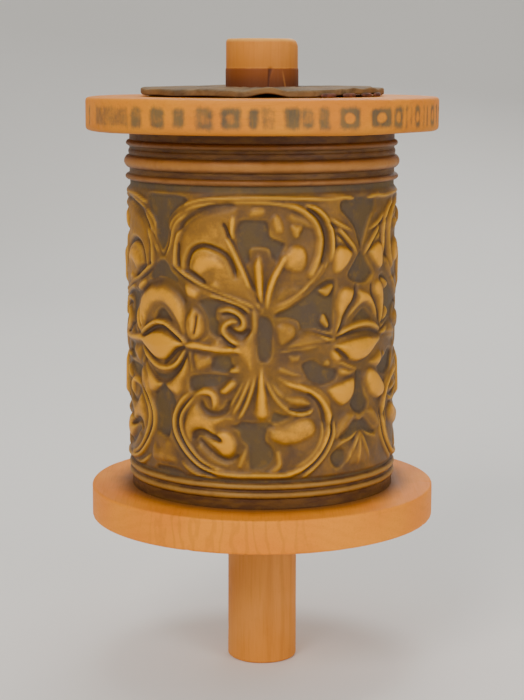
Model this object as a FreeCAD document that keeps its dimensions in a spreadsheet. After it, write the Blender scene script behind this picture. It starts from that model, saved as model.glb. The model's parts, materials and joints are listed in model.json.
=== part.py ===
"""Prayer wheel: a roll of printed prayers in an ornamented drum that turns on an upright axle.

Millimetres, +Z up. The origin is the centre of the axle's foot, so Z is also the axis that
the drum turns about, and -Y is the front.
"""
import FreeCAD, Part
import math
import os
import re
import Sketcher

# ---------------------------------------------------------------------------
# Driving dimensions
# ---------------------------------------------------------------------------
SIZES = {
    # Axle: a turned pole. The drum runs on its journal and both of its ends stay free.
    "axle_length": 300.0,
    "foot_radius": 16.8,
    "foot_length": 60.0,
    "foot_chamfer": 1.0,
    "journal_radius": 17.2,
    "stub_radius": 17.0,
    "stub_length": 16.5,
    "crown_rounding": 2.5,
    # Collar that carries the drum, the peg that locks it, and the washer on it.
    "collar_bottom": 63.0,
    "collar_height": 8.0,
    "collar_radius": 27.0,
    "collar_rounding": 1.5,
    "pin_radius": 2.0,
    "pin_inset": 0.8,
    "washer_thickness": 1.5,
    "washer_radius": 26.0,
    # Discs, and the round plugs under and over them that the drum's wall is built on.
    "lower_disc_radius": 82.6,
    "lower_disc_thickness": 16.0,
    "upper_disc_radius": 83.4,
    "upper_disc_thickness": 15.9,
    "rim_rounding": 1.2,
    "drum_height": 168.8,
    "plug_radius": 58.3,
    "plug_thickness": 10.0,
    # Bushes, the tube round the axle, and the pegs between discs and plugs.
    "running_clearance": 0.05,
    "glue_line": 0.1,
    "bush_radius": 20.5,
    "core_bore_radius": 18.5,
    "core_radius": 27.0,
    "core_housing_depth": 4.0,
    "peg_radius": 2.25,
    "peg_circle_radius": 42.0,
    "peg_count": 4.0,
    # The prayers: printed paper rolled on the core, wrapped, tied, with a chart at each end.
    "chart_radius": 57.5,
    "chart_thickness": 0.6,
    "roll_radius": 54.0,
    "roll_slack": 0.5,
    "wrapper_thickness": 1.2,
    "tie_radius": 0.8,
    "tie_count": 3.0,
    # Drum wall: a bent liner, the embossed sleeve over it, and a turned moulding at each end.
    "liner_bore_radius": 58.5,
    "liner_thickness": 2.5,
    "sleeve_sheet": 1.1,
    "sleeve_border": 3.0,
    "sleeve_step": 1.5,
    "sleeve_belly_radius": 64.8,
    "moulding_radius": 62.7,
    "lower_moulding_height": 12.5,
    "low_bead_rise": 6.5,
    "high_bead_rise": 10.5,
    "foot_bead_half_height": 1.6,
    "foot_bead_depth": 1.9,
    "upper_moulding_height": 22.8,
    "band_bead_drop": 21.0,
    "band_bead_depth": 1.9,
    "roll_bead_drop": 14.1,
    "roll_bead_half_height": 3.1,
    "roll_bead_depth": 2.5,
    "neck_bead_drop": 5.6,
    "neck_bead_depth": 1.6,
    "fine_bead_half_height": 1.5,
    # Tacks down the sleeve's seam, which lies this many degrees from +Y towards +X.
    "seam_turn": 45.0,
    "tack_count": 12.0,
    "tack_pitch": 11.2,
    "tack_first_rise": 5.0,
    "tack_shank_radius": 0.7,
    "tack_head_radius": 2.0,
    "tack_head_height": 0.9,
    # Leather cover on the upper disc, and the thong stitched along part of its edge.
    "cover_radius": 57.0,
    "cover_thickness": 3.0,
    "cover_bore_radius": 17.7,
    "thong_width": 1.5,
    "thong_height": 2.0,
    "stitch_count": 4.0,
    "stitch_angle": 8.5,
    "stitch_pitch": 11.8,
    "stitch_first_angle": -63.0,
}

# Levels and radii that follow from them, written as expressions on the sheet.
CROWN = "axle_length"
SHOULDER = "(axle_length - stub_length)"
COLLAR_TOP = "(collar_bottom + collar_height)"
PIN_LEVEL = "(collar_bottom + collar_height / 2)"
DRUM_BASE = f"({COLLAR_TOP} + washer_thickness)"
FLOOR = f"({DRUM_BASE} + lower_disc_thickness)"
CEILING = f"({FLOOR} + drum_height)"
DRUM_TOP = f"({CEILING} + upper_disc_thickness)"
LOWER_PLUG_TOP = f"({FLOOR} + plug_thickness)"
UPPER_PLUG_BASE = f"({CEILING} - plug_thickness)"
CORE_BASE = f"({LOWER_PLUG_TOP} - core_housing_depth)"
CORE_TOP = f"({UPPER_PLUG_BASE} + core_housing_depth)"
CHART_BORE = "(core_radius + glue_line)"
ROLL_BASE = f"({LOWER_PLUG_TOP} + chart_thickness + roll_slack)"
ROLL_TOP = f"({UPPER_PLUG_BASE} - chart_thickness - roll_slack)"
WRAPPER_BORE = "(roll_radius + glue_line)"
WRAPPER_RADIUS = f"({WRAPPER_BORE} + wrapper_thickness)"
LINER_RADIUS = "(liner_bore_radius + liner_thickness)"
WALL_BORE = f"({LINER_RADIUS} + glue_line)"
SLEEVE_BASE = f"({FLOOR} + lower_moulding_height)"
SLEEVE_TOP = f"({CEILING} - upper_moulding_height)"
BUSH_BORE = "(journal_radius + running_clearance)"

document = FreeCAD.newDocument("PrayerWheel")


# ---------------------------------------------------------------------------
# The sheet, and expressions on it
# ---------------------------------------------------------------------------
def make_sheet():
    """Put every driving dimension in a cell that carries its name."""
    made = document.addObject("Spreadsheet::Sheet", "Sizes")
    for row, (alias, number) in enumerate(SIZES.items(), start=1):
        made.set(f"A{row}", alias.replace("_", " "))
        made.set(f"B{row}", str(number))
        made.setAlias(f"B{row}", alias)
    document.recompute()
    return made


sheet = make_sheet()


def on_sheet(text):
    """Turn plain words such as 'core_radius + glue_line' into an expression on the sheet."""
    return re.sub(r"[a-z]+(_[a-z]+)+", lambda word: f"Sizes.{word.group()}", text)


def value(text):
    """The present number of such an expression."""
    return float(sheet.evalExpression(on_sheet(text)))


def bind(thing, prop, text, unit=""):
    """Bind a property, or a sketch constraint, to an expression on the sheet."""
    thing.setExpression(prop, f"({on_sheet(text)}){unit}")


# ---------------------------------------------------------------------------
# Ways of making a piece
# ---------------------------------------------------------------------------
def new_body(label):
    return document.addObject("PartDesign::Body", label)


def origin_feature(body, role):
    """One of the body's own planes or axes, such as XZ_Plane or Z_Axis."""
    return next(item for item in body.Origin.OriginFeatures if item.Role == role)


def new_sketch(body, name, role):
    sketch = body.newObject("Sketcher::SketchObject", name)
    sketch.AttachmentSupport = [(origin_feature(body, role), "")]
    sketch.MapMode = "FlatFace"
    return sketch


def pin_point(sketch, edge, end, across, up):
    """Fix one end of an edge at (across, up), both of them expressions."""
    for kind, text in (("DistanceX", across), ("DistanceY", up)):
        index = sketch.addConstraint(Sketcher.Constraint(kind, -1, 1, edge, end, value(text)))
        bind(sketch, f"Constraints[{index}]", text)


def outline(body, name, corners):
    """Closed outline on the XZ plane, given anticlockwise from its inner bottom corner.

    A corner is (radius, level), or (radius, level, bulge) where the edge from it to the next
    corner is an arc of that radius that swells outwards.
    """
    sketch = new_sketch(body, name, "XZ_Plane")
    places = [FreeCAD.Vector(value(corner[0]), value(corner[1]), 0) for corner in corners]
    for index, corner in enumerate(corners):
        start, end = places[index], places[(index + 1) % len(places)]
        if len(corner) == 2:
            sketch.addGeometry(Part.LineSegment(start, end), False)
            continue
        bulge = value(corner[2])
        chord = end - start
        sagitta = bulge - math.sqrt(bulge ** 2 - (chord.Length / 2) ** 2)
        outwards = FreeCAD.Vector(chord.y, -chord.x, 0).normalize()
        crest = (start + end) / 2 + outwards * sagitta
        sketch.addGeometry(Part.Arc(start, crest, end), False)
    for index, corner in enumerate(corners):
        after = (index + 1) % len(corners)
        sketch.addConstraint(Sketcher.Constraint("Coincident", index, 2, after, 1))
        pin_point(sketch, index, 1, corner[0], corner[1])
        if len(corner) == 3:
            radius = sketch.addConstraint(Sketcher.Constraint("Radius", index, value(corner[2])))
            bind(sketch, f"Constraints[{radius}]", corner[2])
    return sketch


def turned(label, corners):
    """A piece turned on the lathe: its outline taken round the body's Z axis."""
    body = new_body(label)
    sketch = outline(body, f"{label}_outline", corners)
    turning = body.newObject("PartDesign::Revolution", f"{label}_turning")
    turning.Profile = sketch
    turning.ReferenceAxis = (sketch, ["V_Axis"])
    turning.Angle = 360.0
    document.recompute()
    return body


def ring(label, bore, radius, bottom, top):
    """A plain turned ring or tube."""
    return turned(label, [(bore, bottom), (radius, bottom), (radius, top), (bore, top)])


def round_sketch(body, name, role, radius, across, up):
    """A circle on one of the body's planes, with its centre at (across, up)."""
    sketch = new_sketch(body, name, role)
    centre = FreeCAD.Vector(value(across), value(up), 0)
    circle = Part.Circle(centre, FreeCAD.Vector(0, 0, 1), value(radius))
    sketch.addGeometry(circle, False)
    index = sketch.addConstraint(Sketcher.Constraint("Radius", 0, value(radius)))
    bind(sketch, f"Constraints[{index}]", radius)
    pin_point(sketch, 0, 3, across, up)
    return sketch


def drill(body, name, sketch):
    """Cut the sketched circle right through the body, both ways from its plane."""
    before = body.Shape.Volume
    hole = body.newObject("PartDesign::Pocket", name)
    hole.Profile = sketch
    hole.Type = "ThroughAll"
    hole.Midplane = True
    document.recompute()
    if not body.Shape.Volume < before:
        raise RuntimeError(f"{name} cut nothing")
    return hole


def repeat_round(body, name, feature, count):
    """Repeat a feature evenly round the body's Z axis."""
    pattern = body.newObject("PartDesign::PolarPattern", name)
    pattern.Originals = [feature]
    pattern.Axis = (origin_feature(body, "Z_Axis"), [""])
    pattern.Angle = 360.0
    bind(pattern, "Occurrences", count)
    body.Tip = pattern
    document.recompute()
    return pattern


def repeat_along(body, name, feature, role, count, pitch):
    """Repeat a feature at a pitch along one of the body's axes."""
    pattern = body.newObject("PartDesign::LinearPattern", name)
    pattern.Originals = [feature]
    pattern.Direction = (origin_feature(body, role), [""])
    bind(pattern, "Length", f"{pitch} * ({count} - 1)", " * 1mm")
    bind(pattern, "Occurrences", count)
    body.Tip = pattern
    document.recompute()
    return pattern


def arc_radius(half_height, depth):
    """Radius of the arc that swells by depth over a chord of twice half_height."""
    return f"(({half_height} ^ 2 + {depth} ^ 2) / (2 * {depth}))"


# ---------------------------------------------------------------------------
# What stands still: axle, collar, peg and washer
# ---------------------------------------------------------------------------
def make_axle():
    """Turned pole, drilled across for the collar's peg, with a softened crown."""
    body = turned("axle", [
        ("0", "0"),
        ("foot_radius - foot_chamfer", "0"),
        ("foot_radius", "foot_chamfer"),
        ("foot_radius", "foot_length"),
        ("journal_radius", "foot_length"),
        ("journal_radius", SHOULDER),
        ("stub_radius", SHOULDER),
        ("stub_radius", f"{CROWN} - crown_rounding", "crown_rounding"),
        ("stub_radius - crown_rounding", CROWN),
        ("0", CROWN),
    ])
    eye = round_sketch(body, "axle_eye", "XZ_Plane", "pin_radius + glue_line", "0", PIN_LEVEL)
    drill(body, "axle_cross_hole", eye)


def make_collar():
    """Wooden ring, rounded below, that sits on the peg and takes the drum's weight."""
    body = turned("support_collar", [
        (BUSH_BORE, "collar_bottom"),
        ("collar_radius - collar_rounding", "collar_bottom", "collar_rounding"),
        ("collar_radius", "collar_bottom + collar_rounding"),
        ("collar_radius", COLLAR_TOP),
        (BUSH_BORE, COLLAR_TOP),
    ])
    eye = round_sketch(body, "collar_eye", "XZ_Plane", "pin_radius + glue_line", "0", PIN_LEVEL)
    drill(body, "collar_cross_hole", eye)


def make_collar_pin():
    """Peg driven across the collar and the axle, lying front to back."""
    body = new_body("collar_pin")
    sketch = round_sketch(body, "collar_pin_end", "XZ_Plane", "pin_radius", "0", PIN_LEVEL)
    peg = body.newObject("PartDesign::Pad", "collar_pin_length")
    peg.Profile = sketch
    peg.Midplane = True
    bind(peg, "Length", "2 * (collar_radius - pin_inset)", " * 1mm")
    document.recompute()


def make_washer():
    """Leather washer between collar and drum."""
    ring("thrust_washer", BUSH_BORE, "washer_radius", COLLAR_TOP, DRUM_BASE)


# ---------------------------------------------------------------------------
# What turns: discs, plugs, bushes, core and pegs
# ---------------------------------------------------------------------------
def make_disc(label, radius, bottom, top):
    """Board turned to a disc with a softened rim, bored for its bush and its pegs."""
    body = turned(label, [
        ("bush_radius + glue_line", bottom),
        (f"{radius} - rim_rounding", bottom, "rim_rounding"),
        (radius, f"{bottom} + rim_rounding"),
        (radius, f"{top} - rim_rounding", "rim_rounding"),
        (f"{radius} - rim_rounding", top),
        ("bush_radius + glue_line", top),
    ])
    drill_for_pegs(body, label)


def make_plug(label, outer_face, inner_face, housing_floor):
    """Round plug inside the drum's wall; the end of the core is housed in its inner face."""
    corners = [
        ("bush_radius + glue_line", outer_face),
        ("plug_radius", outer_face),
        ("plug_radius", inner_face),
        (CHART_BORE, inner_face),
        (CHART_BORE, housing_floor),
        ("bush_radius + glue_line", housing_floor),
    ]
    if value(inner_face) < value(outer_face):
        corners.reverse()
    drill_for_pegs(turned(label, corners), label)


def drill_for_pegs(body, label):
    eye = round_sketch(
        body, f"{label}_peg_eye", "XY_Plane", "peg_radius + glue_line", "peg_circle_radius", "0")
    hole = drill(body, f"{label}_peg_hole", eye)
    repeat_round(body, f"{label}_peg_holes", hole, "peg_count")


def make_peg_ring(label, bottom, top):
    """One dowel standing on the peg circle, repeated round the axle."""
    body = new_body(label)
    sketch = round_sketch(
        body, f"{label}_end", "XY_Plane", "peg_radius", "peg_circle_radius", "0")
    sketch.setExpression("AttachmentOffset.Base.z", f"({on_sheet(bottom)}) * 1mm")
    peg = body.newObject("PartDesign::Pad", f"{label}_length")
    peg.Profile = sketch
    bind(peg, "Length", f"{top} - {bottom}", " * 1mm")
    document.recompute()
    repeat_round(body, f"{label}_ring", peg, "peg_count")


def make_drum_frame():
    make_disc("lower_disc", "lower_disc_radius", DRUM_BASE, FLOOR)
    make_disc("upper_disc", "upper_disc_radius", CEILING, DRUM_TOP)
    make_plug("lower_plug", FLOOR, LOWER_PLUG_TOP, CORE_BASE)
    make_plug("upper_plug", CEILING, UPPER_PLUG_BASE, CORE_TOP)
    ring("lower_bush", BUSH_BORE, "bush_radius", DRUM_BASE, CORE_BASE)
    ring("upper_bush", BUSH_BORE, "bush_radius", CORE_TOP, DRUM_TOP)
    ring("core_tube", "core_bore_radius", "core_radius", CORE_BASE, CORE_TOP)
    make_peg_ring("lower_disc_pegs", DRUM_BASE, LOWER_PLUG_TOP)
    make_peg_ring("upper_disc_pegs", UPPER_PLUG_BASE, DRUM_TOP)


# ---------------------------------------------------------------------------
# What turns: the prayers
# ---------------------------------------------------------------------------
def make_ties():
    """Cords knotted round the wrapped roll, evenly spaced over its height."""
    body = new_body("roll_ties")
    spacing = f"(({ROLL_TOP} - {ROLL_BASE}) / (tie_count + 1))"
    sketch = round_sketch(
        body, "roll_tie_section", "XZ_Plane", "tie_radius",
        f"{WRAPPER_RADIUS} + glue_line + tie_radius", f"{ROLL_BASE} + {spacing}")
    loop = body.newObject("PartDesign::Revolution", "roll_tie")
    loop.Profile = sketch
    loop.ReferenceAxis = (sketch, ["V_Axis"])
    loop.Angle = 360.0
    document.recompute()
    repeat_along(body, "roll_tie_row", loop, "Z_Axis", "tie_count", spacing)


def make_prayers():
    ring("earth_wheel_chart", CHART_BORE, "chart_radius",
         LOWER_PLUG_TOP, f"{LOWER_PLUG_TOP} + chart_thickness")
    ring("sky_wheel_chart", CHART_BORE, "chart_radius",
         f"{UPPER_PLUG_BASE} - chart_thickness", UPPER_PLUG_BASE)
    ring("prayer_roll", CHART_BORE, "roll_radius", ROLL_BASE, ROLL_TOP)
    ring("roll_wrapper", WRAPPER_BORE, WRAPPER_RADIUS, ROLL_BASE, ROLL_TOP)
    make_ties()


# ---------------------------------------------------------------------------
# What turns: the drum's wall and its cover
# ---------------------------------------------------------------------------
def make_sleeve():
    """Sheet drawn over the liner: a flat border at each end, and the embossed belly between."""
    edge = f"({WALL_BORE} + sleeve_sheet)"
    hollow = "(sleeve_belly_radius - sleeve_sheet)"
    turned("embossed_sleeve", [
        (WALL_BORE, SLEEVE_BASE),
        (edge, SLEEVE_BASE),
        (edge, f"{SLEEVE_BASE} + sleeve_border"),
        ("sleeve_belly_radius", f"{SLEEVE_BASE} + sleeve_border + sleeve_step"),
        ("sleeve_belly_radius", f"{SLEEVE_TOP} - sleeve_border - sleeve_step"),
        (edge, f"{SLEEVE_TOP} - sleeve_border"),
        (edge, SLEEVE_TOP),
        (WALL_BORE, SLEEVE_TOP),
        (WALL_BORE, f"{SLEEVE_TOP} - sleeve_border"),
        (hollow, f"{SLEEVE_TOP} - sleeve_border - sleeve_step"),
        (hollow, f"{SLEEVE_BASE} + sleeve_border + sleeve_step"),
        (WALL_BORE, f"{SLEEVE_BASE} + sleeve_border"),
    ])


def bead(centre, half_height, depth):
    """The two corners of one turned bead, from its lower edge to its upper one."""
    return [
        ("moulding_radius", f"{centre} - {half_height}", arc_radius(half_height, depth)),
        ("moulding_radius", f"{centre} + {half_height}"),
    ]


def make_moulding(label, bottom, top, beads):
    """Turned ring that carries beads, listed from the lowest up."""
    corners = [(WALL_BORE, bottom), ("moulding_radius", bottom)]
    for centre, half_height, depth in beads:
        corners += bead(centre, half_height, depth)
    corners += [("moulding_radius", top), (WALL_BORE, top)]
    turned(label, corners)


def make_seam_tacks():
    """Domed tacks down the seam at the back right, each turned about its own shank."""
    body = new_body("seam_tacks")
    head_seat = "sleeve_belly_radius"
    crown = f"({head_seat} + tack_head_height)"
    sketch = outline(body, "seam_tack_outline", [
        ("0", "liner_bore_radius"),
        ("tack_shank_radius", "liner_bore_radius"),
        ("tack_shank_radius", head_seat),
        ("tack_head_radius", head_seat, arc_radius("tack_head_radius", "tack_head_height")),
        ("0", crown),
    ])
    tack = body.newObject("PartDesign::Revolution", "seam_tack")
    tack.Profile = sketch
    tack.ReferenceAxis = (sketch, ["V_Axis"])
    tack.Angle = 360.0
    document.recompute()
    repeat_along(body, "seam_tack_row", tack, "Y_Axis", "tack_count", "tack_pitch")
    laid_down = FreeCAD.Rotation(FreeCAD.Vector(1, 0, 0), -90)
    to_seam = FreeCAD.Rotation(FreeCAD.Vector(0, 0, 1), -value("seam_turn"))
    body.Placement.Rotation = to_seam * laid_down
    last_rise = "tack_first_rise + tack_pitch * (tack_count - 1)"
    body.setExpression(
        "Placement.Base.z", f"({on_sheet(SLEEVE_BASE)} + {on_sheet(last_rise)}) * 1mm")


def make_thong():
    """Thong that shows as short stitches along the front right of the cover's edge."""
    body = new_body("cover_lacing")
    bore = "(cover_radius + glue_line)"
    sketch = outline(body, "stitch_outline", [
        (bore, DRUM_TOP),
        (f"{bore} + thong_width", DRUM_TOP),
        (f"{bore} + thong_width", f"{DRUM_TOP} + thong_height"),
        (bore, f"{DRUM_TOP} + thong_height"),
    ])
    stitch = body.newObject("PartDesign::Revolution", "stitch")
    stitch.Profile = sketch
    stitch.ReferenceAxis = (sketch, ["V_Axis"])
    bind(stitch, "Angle", "stitch_angle", " * 1deg")
    document.recompute()
    pattern = body.newObject("PartDesign::PolarPattern", "stitches")
    pattern.Originals = [stitch]
    pattern.Axis = (origin_feature(body, "Z_Axis"), [""])
    bind(pattern, "Angle", "stitch_pitch * (stitch_count - 1)", " * 1deg")
    bind(pattern, "Occurrences", "stitch_count")
    body.Tip = pattern
    body.Placement.Rotation = FreeCAD.Rotation(
        FreeCAD.Vector(0, 0, 1), value("stitch_first_angle"))
    document.recompute()


def make_wall():
    ring("drum_liner", "liner_bore_radius", LINER_RADIUS, FLOOR, CEILING)
    make_sleeve()
    make_seam_tacks()
    make_moulding("lower_moulding", FLOOR, SLEEVE_BASE, [
        (f"{FLOOR} + low_bead_rise", "foot_bead_half_height", "foot_bead_depth"),
        (f"{FLOOR} + high_bead_rise", "foot_bead_half_height", "foot_bead_depth"),
    ])
    make_moulding("upper_moulding", SLEEVE_TOP, CEILING, [
        (f"{CEILING} - band_bead_drop", "fine_bead_half_height", "band_bead_depth"),
        (f"{CEILING} - roll_bead_drop", "roll_bead_half_height", "roll_bead_depth"),
        (f"{CEILING} - neck_bead_drop", "fine_bead_half_height", "neck_bead_depth"),
    ])
    ring("leather_cover", "cover_bore_radius", "cover_radius",
         DRUM_TOP, f"{DRUM_TOP} + cover_thickness")
    make_thong()


# ---------------------------------------------------------------------------
# Making, checking and writing
# ---------------------------------------------------------------------------
def check_and_export():
    """Refuse a failed feature or a bad shape, then write each sub-part under its name."""
    document.recompute()
    for item in document.Objects:
        if "Invalid" in item.State or "Error" in item.State:
            raise RuntimeError(f"{item.Label} failed to recompute: {item.State}")
    bodies = [item for item in document.Objects if item.isDerivedFrom("PartDesign::Body")]
    for body in bodies:
        if body.Shape.isNull() or not body.Shape.isValid():
            raise RuntimeError(f"{body.Label} has no valid shape")
    os.makedirs("parts", exist_ok=True)
    for body in bodies:
        body.Shape.exportStep(f"parts/{body.Label}.step")
        box = body.Shape.BoundBox
        print(f"{body.Label:18s} solids {len(body.Shape.Solids):2d}  "
              f"volume {body.Shape.Volume / 1000:8.2f} cm3  "
              f"z {box.ZMin:7.2f} to {box.ZMax:7.2f}  x {box.XMin:7.2f} to {box.XMax:7.2f}")


make_axle()
make_collar()
make_collar_pin()
make_washer()
make_drum_frame()
make_prayers()
make_wall()
check_and_export()
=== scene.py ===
"""Prayer wheel: the looks of the drum, its discs, its axle and the leather on top.

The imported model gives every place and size. Arrays hold millimetres until a mesh is made.
Angles are measured round the axle from the front, towards +X.
"""

import json
import math

import bpy
import numpy as np
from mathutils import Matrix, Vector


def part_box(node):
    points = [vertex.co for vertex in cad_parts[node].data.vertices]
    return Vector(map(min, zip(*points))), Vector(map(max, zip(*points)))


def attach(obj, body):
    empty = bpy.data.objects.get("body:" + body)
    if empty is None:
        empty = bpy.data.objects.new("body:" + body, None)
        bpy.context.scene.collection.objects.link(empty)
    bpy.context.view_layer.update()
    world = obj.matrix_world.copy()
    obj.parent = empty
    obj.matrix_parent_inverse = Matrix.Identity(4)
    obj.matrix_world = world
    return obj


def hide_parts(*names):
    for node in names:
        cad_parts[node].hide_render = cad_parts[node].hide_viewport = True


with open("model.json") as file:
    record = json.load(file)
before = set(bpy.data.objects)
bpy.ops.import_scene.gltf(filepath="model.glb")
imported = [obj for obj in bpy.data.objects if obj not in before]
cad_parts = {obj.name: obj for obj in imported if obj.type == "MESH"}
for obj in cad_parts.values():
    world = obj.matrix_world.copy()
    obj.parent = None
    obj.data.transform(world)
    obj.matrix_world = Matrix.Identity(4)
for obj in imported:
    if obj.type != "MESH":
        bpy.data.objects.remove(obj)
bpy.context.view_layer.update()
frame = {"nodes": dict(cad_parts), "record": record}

MM = 0.001
FULL_TURN = 2 * math.pi
PURER = 1.3


def spot(node):
    """Lowest and highest corner of a CAD node, in millimetres."""
    low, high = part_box(node)
    return np.array(low) / MM, np.array(high) / MM


def base_of(node):
    return float(spot(node)[0][2])


def top_of(node):
    return float(spot(node)[1][2])


def reach_of(node):
    """Outer radius of a round CAD node, in millimetres."""
    return float(spot(node)[1][0])


# ---------------------------------------------------------------------------
# Sizes in millimetres
# ---------------------------------------------------------------------------
AXLE_LENGTH = top_of("axle")
JOURNAL_RADIUS = reach_of("axle")
FOOT_RADIUS = JOURNAL_RADIUS - 0.4
FOOT_LENGTH = 60.0
STUB_RADIUS = JOURNAL_RADIUS - 0.2
SHOULDER = AXLE_LENGTH - 14.0          # also the top of the stain that the leather left
LOWER_BASE, LOWER_TOP, LOWER_REACH = base_of("lower_disc"), top_of("lower_disc"), reach_of("lower_disc")
UPPER_BASE, UPPER_TOP, UPPER_REACH = base_of("upper_disc"), top_of("upper_disc"), reach_of("upper_disc")
DISC_BORE = 20.6
SLEEVE_BASE, SLEEVE_TOP = base_of("embossed_sleeve"), top_of("embossed_sleeve")
SLEEVE_BORE = 61.15
SLEEVE_GROUND = 62.2                   # radius of the flat ground between the raised forms
MOULDING_RADIUS = 62.7
COVER_BASE, COVER_REACH = base_of("leather_cover"), reach_of("leather_cover")
COVER_BORE = 17.8
PEG_CIRCLE = 42.0
TACK_HEAD_RADIUS, TACK_PITCH = 2.0, 11.2
SEAM_ANGLE = math.radians(135)


# ---------------------------------------------------------------------------
# Finishes
# ---------------------------------------------------------------------------
def paint(red, green, blue):
    """A colour given as it looks, each part from 0 to 255, in a shader's linear numbers.

    It is made purer than it looks, by as much as the view makes it paler.
    """
    linear = np.array([red, green, blue]) / 255
    linear = linear ** 2.2
    grey = linear @ (0.21, 0.72, 0.07)
    return tuple(np.clip(grey + PURER * (linear - grey), 0.004, 1)) + (1.0,)


class Finish:
    """A material on Object coordinates, its nodes added in the order they work in."""

    def __init__(self, name, **sockets):
        self.material = bpy.data.materials.new(name)
        self.material.use_nodes = True
        self.tree = self.material.node_tree
        self.shader = self.tree.nodes["Principled BSDF"]
        self.place = self.tree.nodes.new("ShaderNodeTexCoord").outputs["Object"]
        for socket, number in sockets.items():
            self.shader.inputs[socket.replace("_", " ")].default_value = number

    def feed(self, socket, source):
        if isinstance(source, bpy.types.NodeSocket):
            self.tree.links.new(source, socket)
        else:
            socket.default_value = source

    def node(self, kind, inputs, **settings):
        made = self.tree.nodes.new("ShaderNode" + kind)
        for setting, choice in settings.items():
            setattr(made, setting, choice)
        for socket, source in inputs.items():
            self.feed(made.inputs[socket], source)
        return made

    def stretched(self, x, y, z):
        """Object coordinates with each axis scaled, so that a pattern runs along the short one."""
        return self.node("Mapping", {"Vector": self.place, "Scale": (x, y, z)}).outputs[0]

    def clouds(self, size, detail=3.0, rough=0.5, twist=0.0, along=None):
        """Cloudy pattern from 0 to 1 whose patches are about size millimetres across."""
        return self.node("TexNoise", {
            "Vector": along or self.place, "Scale": 1 / (size * MM), "Detail": detail,
            "Roughness": rough, "Distortion": twist}).outputs[0]

    def cells(self, size):
        """Distance to the nearest of many scattered points, size millimetres apart."""
        return self.node("TexVoronoi", {
            "Vector": self.place, "Scale": 1 / (size * MM)}).outputs["Distance"]

    def attribute(self, name):
        return self.node("Attribute", {}, attribute_name=name).outputs["Fac"]

    def reckon(self, operation, first, second=0.0):
        return self.node("Math", {0: first, 1: second}, operation=operation).outputs[0]

    def times(self, first, second):
        return self.reckon("MULTIPLY", first, second)

    def added(self, first, second, share=1.0):
        return self.node("Math", {0: second, 1: share, 2: first}, operation="MULTIPLY_ADD").outputs[0]

    def ramp(self, number, low, high):
        """0 below low, 1 above high, smooth between; high may be the lower of the two."""
        return self.node("MapRange", {
            "Value": number, "From Min": low, "From Max": high},
            interpolation_type="SMOOTHSTEP").outputs[0]

    def mixed(self, share, first, second):
        return self.node("Mix", {0: share, 6: first, 7: second}, data_type="RGBA").outputs[2]

    def tinted(self, tone, share, strength, colour):
        """The tone, taken towards a colour by that strength where the share is 1."""
        return self.mixed(self.times(share, strength), tone, colour)

    def across(self, axis):
        """One of the Object coordinates, in millimetres."""
        parts = self.node("SeparateXYZ", {0: self.place}).outputs
        return self.times(parts[axis], 1 / MM)

    def radius(self):
        """Distance from the axle's centre line, in millimetres."""
        flat = self.node("VectorMath", {0: self.place, 1: (1, 1, 0)}, operation="MULTIPLY").outputs[0]
        length = self.node("VectorMath", {0: flat}, operation="LENGTH").outputs["Value"]
        return self.times(length, 1 / MM)

    def done(self, colour, roughness=None, height=None, depth=0.1):
        """Join the colour, the varying roughness and a bump of that depth in millimetres."""
        self.feed(self.shader.inputs["Base Color"], colour)
        if roughness is not None:
            self.feed(self.shader.inputs["Roughness"], roughness)
        if height is not None:
            bump = self.node("Bump", {"Height": height, "Distance": depth * MM})
            self.feed(self.shader.inputs["Normal"], bump.outputs[0])
        return self.material


def wood_finish(name, pale, warm, dark, grain=2, pith=(60.0, 90.0, 0.0), ring=4.0, figure=0.35,
                layers=(), **sockets):
    """Wood with growth rings round a pith that runs along one axis, and fine fibres along it."""
    finish = Finish(name, **sockets)
    run = [1.0, 1.0, 1.0]
    run[grain] = 0.045
    fibres_run = finish.stretched(*run)
    run[grain] = 0.25
    wander_run = finish.stretched(*run)
    off_pith = finish.node("VectorMath", {
        0: finish.place, 1: tuple(part * MM for part in pith)}, operation="SUBTRACT").outputs[0]
    across_grain = [1.0, 1.0, 1.0]
    across_grain[grain] = 0.0
    flat = finish.node("VectorMath", {0: off_pith, 1: across_grain}, operation="MULTIPLY").outputs[0]
    distance = finish.node("VectorMath", {0: flat}, operation="LENGTH").outputs["Value"]
    wander = finish.clouds(16, 2.0, along=wander_run)
    bent = finish.added(finish.times(distance, FULL_TURN / (ring * MM)), wander, 9.0)
    rings = finish.ramp(finish.reckon("SINE", bent), -0.2, 1.0)
    seen = finish.ramp(finish.clouds(34, 1.0, along=wander_run), 0.38, 0.66)
    fibres = finish.clouds(0.9, 4.0, 0.6, along=fibres_run)
    pores = finish.ramp(finish.clouds(0.55, 1.0, along=fibres_run), 0.66, 0.76)
    tone = finish.mixed(finish.ramp(finish.clouds(42, 2.0), 0.35, 0.65), pale, warm)
    line = finish.times(finish.times(rings, seen), figure)
    tone = finish.mixed(line, tone, dark)
    tone = finish.tinted(tone, finish.ramp(fibres, 0.45, 0.75), 0.2, dark)
    tone = finish.tinted(tone, pores, 0.25, dark)
    for layer in layers:
        tone = layer(finish, tone)
    rough = finish.added(0.5, fibres, 0.22)
    return finish.done(tone, rough, finish.added(fibres, rings, 0.25), 0.06)


def handling(finish, tone):
    """Faint dark smudges where hands and dust have been."""
    smudge = finish.ramp(finish.clouds(11, 5.0, 0.65), 0.55, 0.8)
    return finish.tinted(tone, smudge, 0.22, paint(138, 92, 52))


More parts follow.
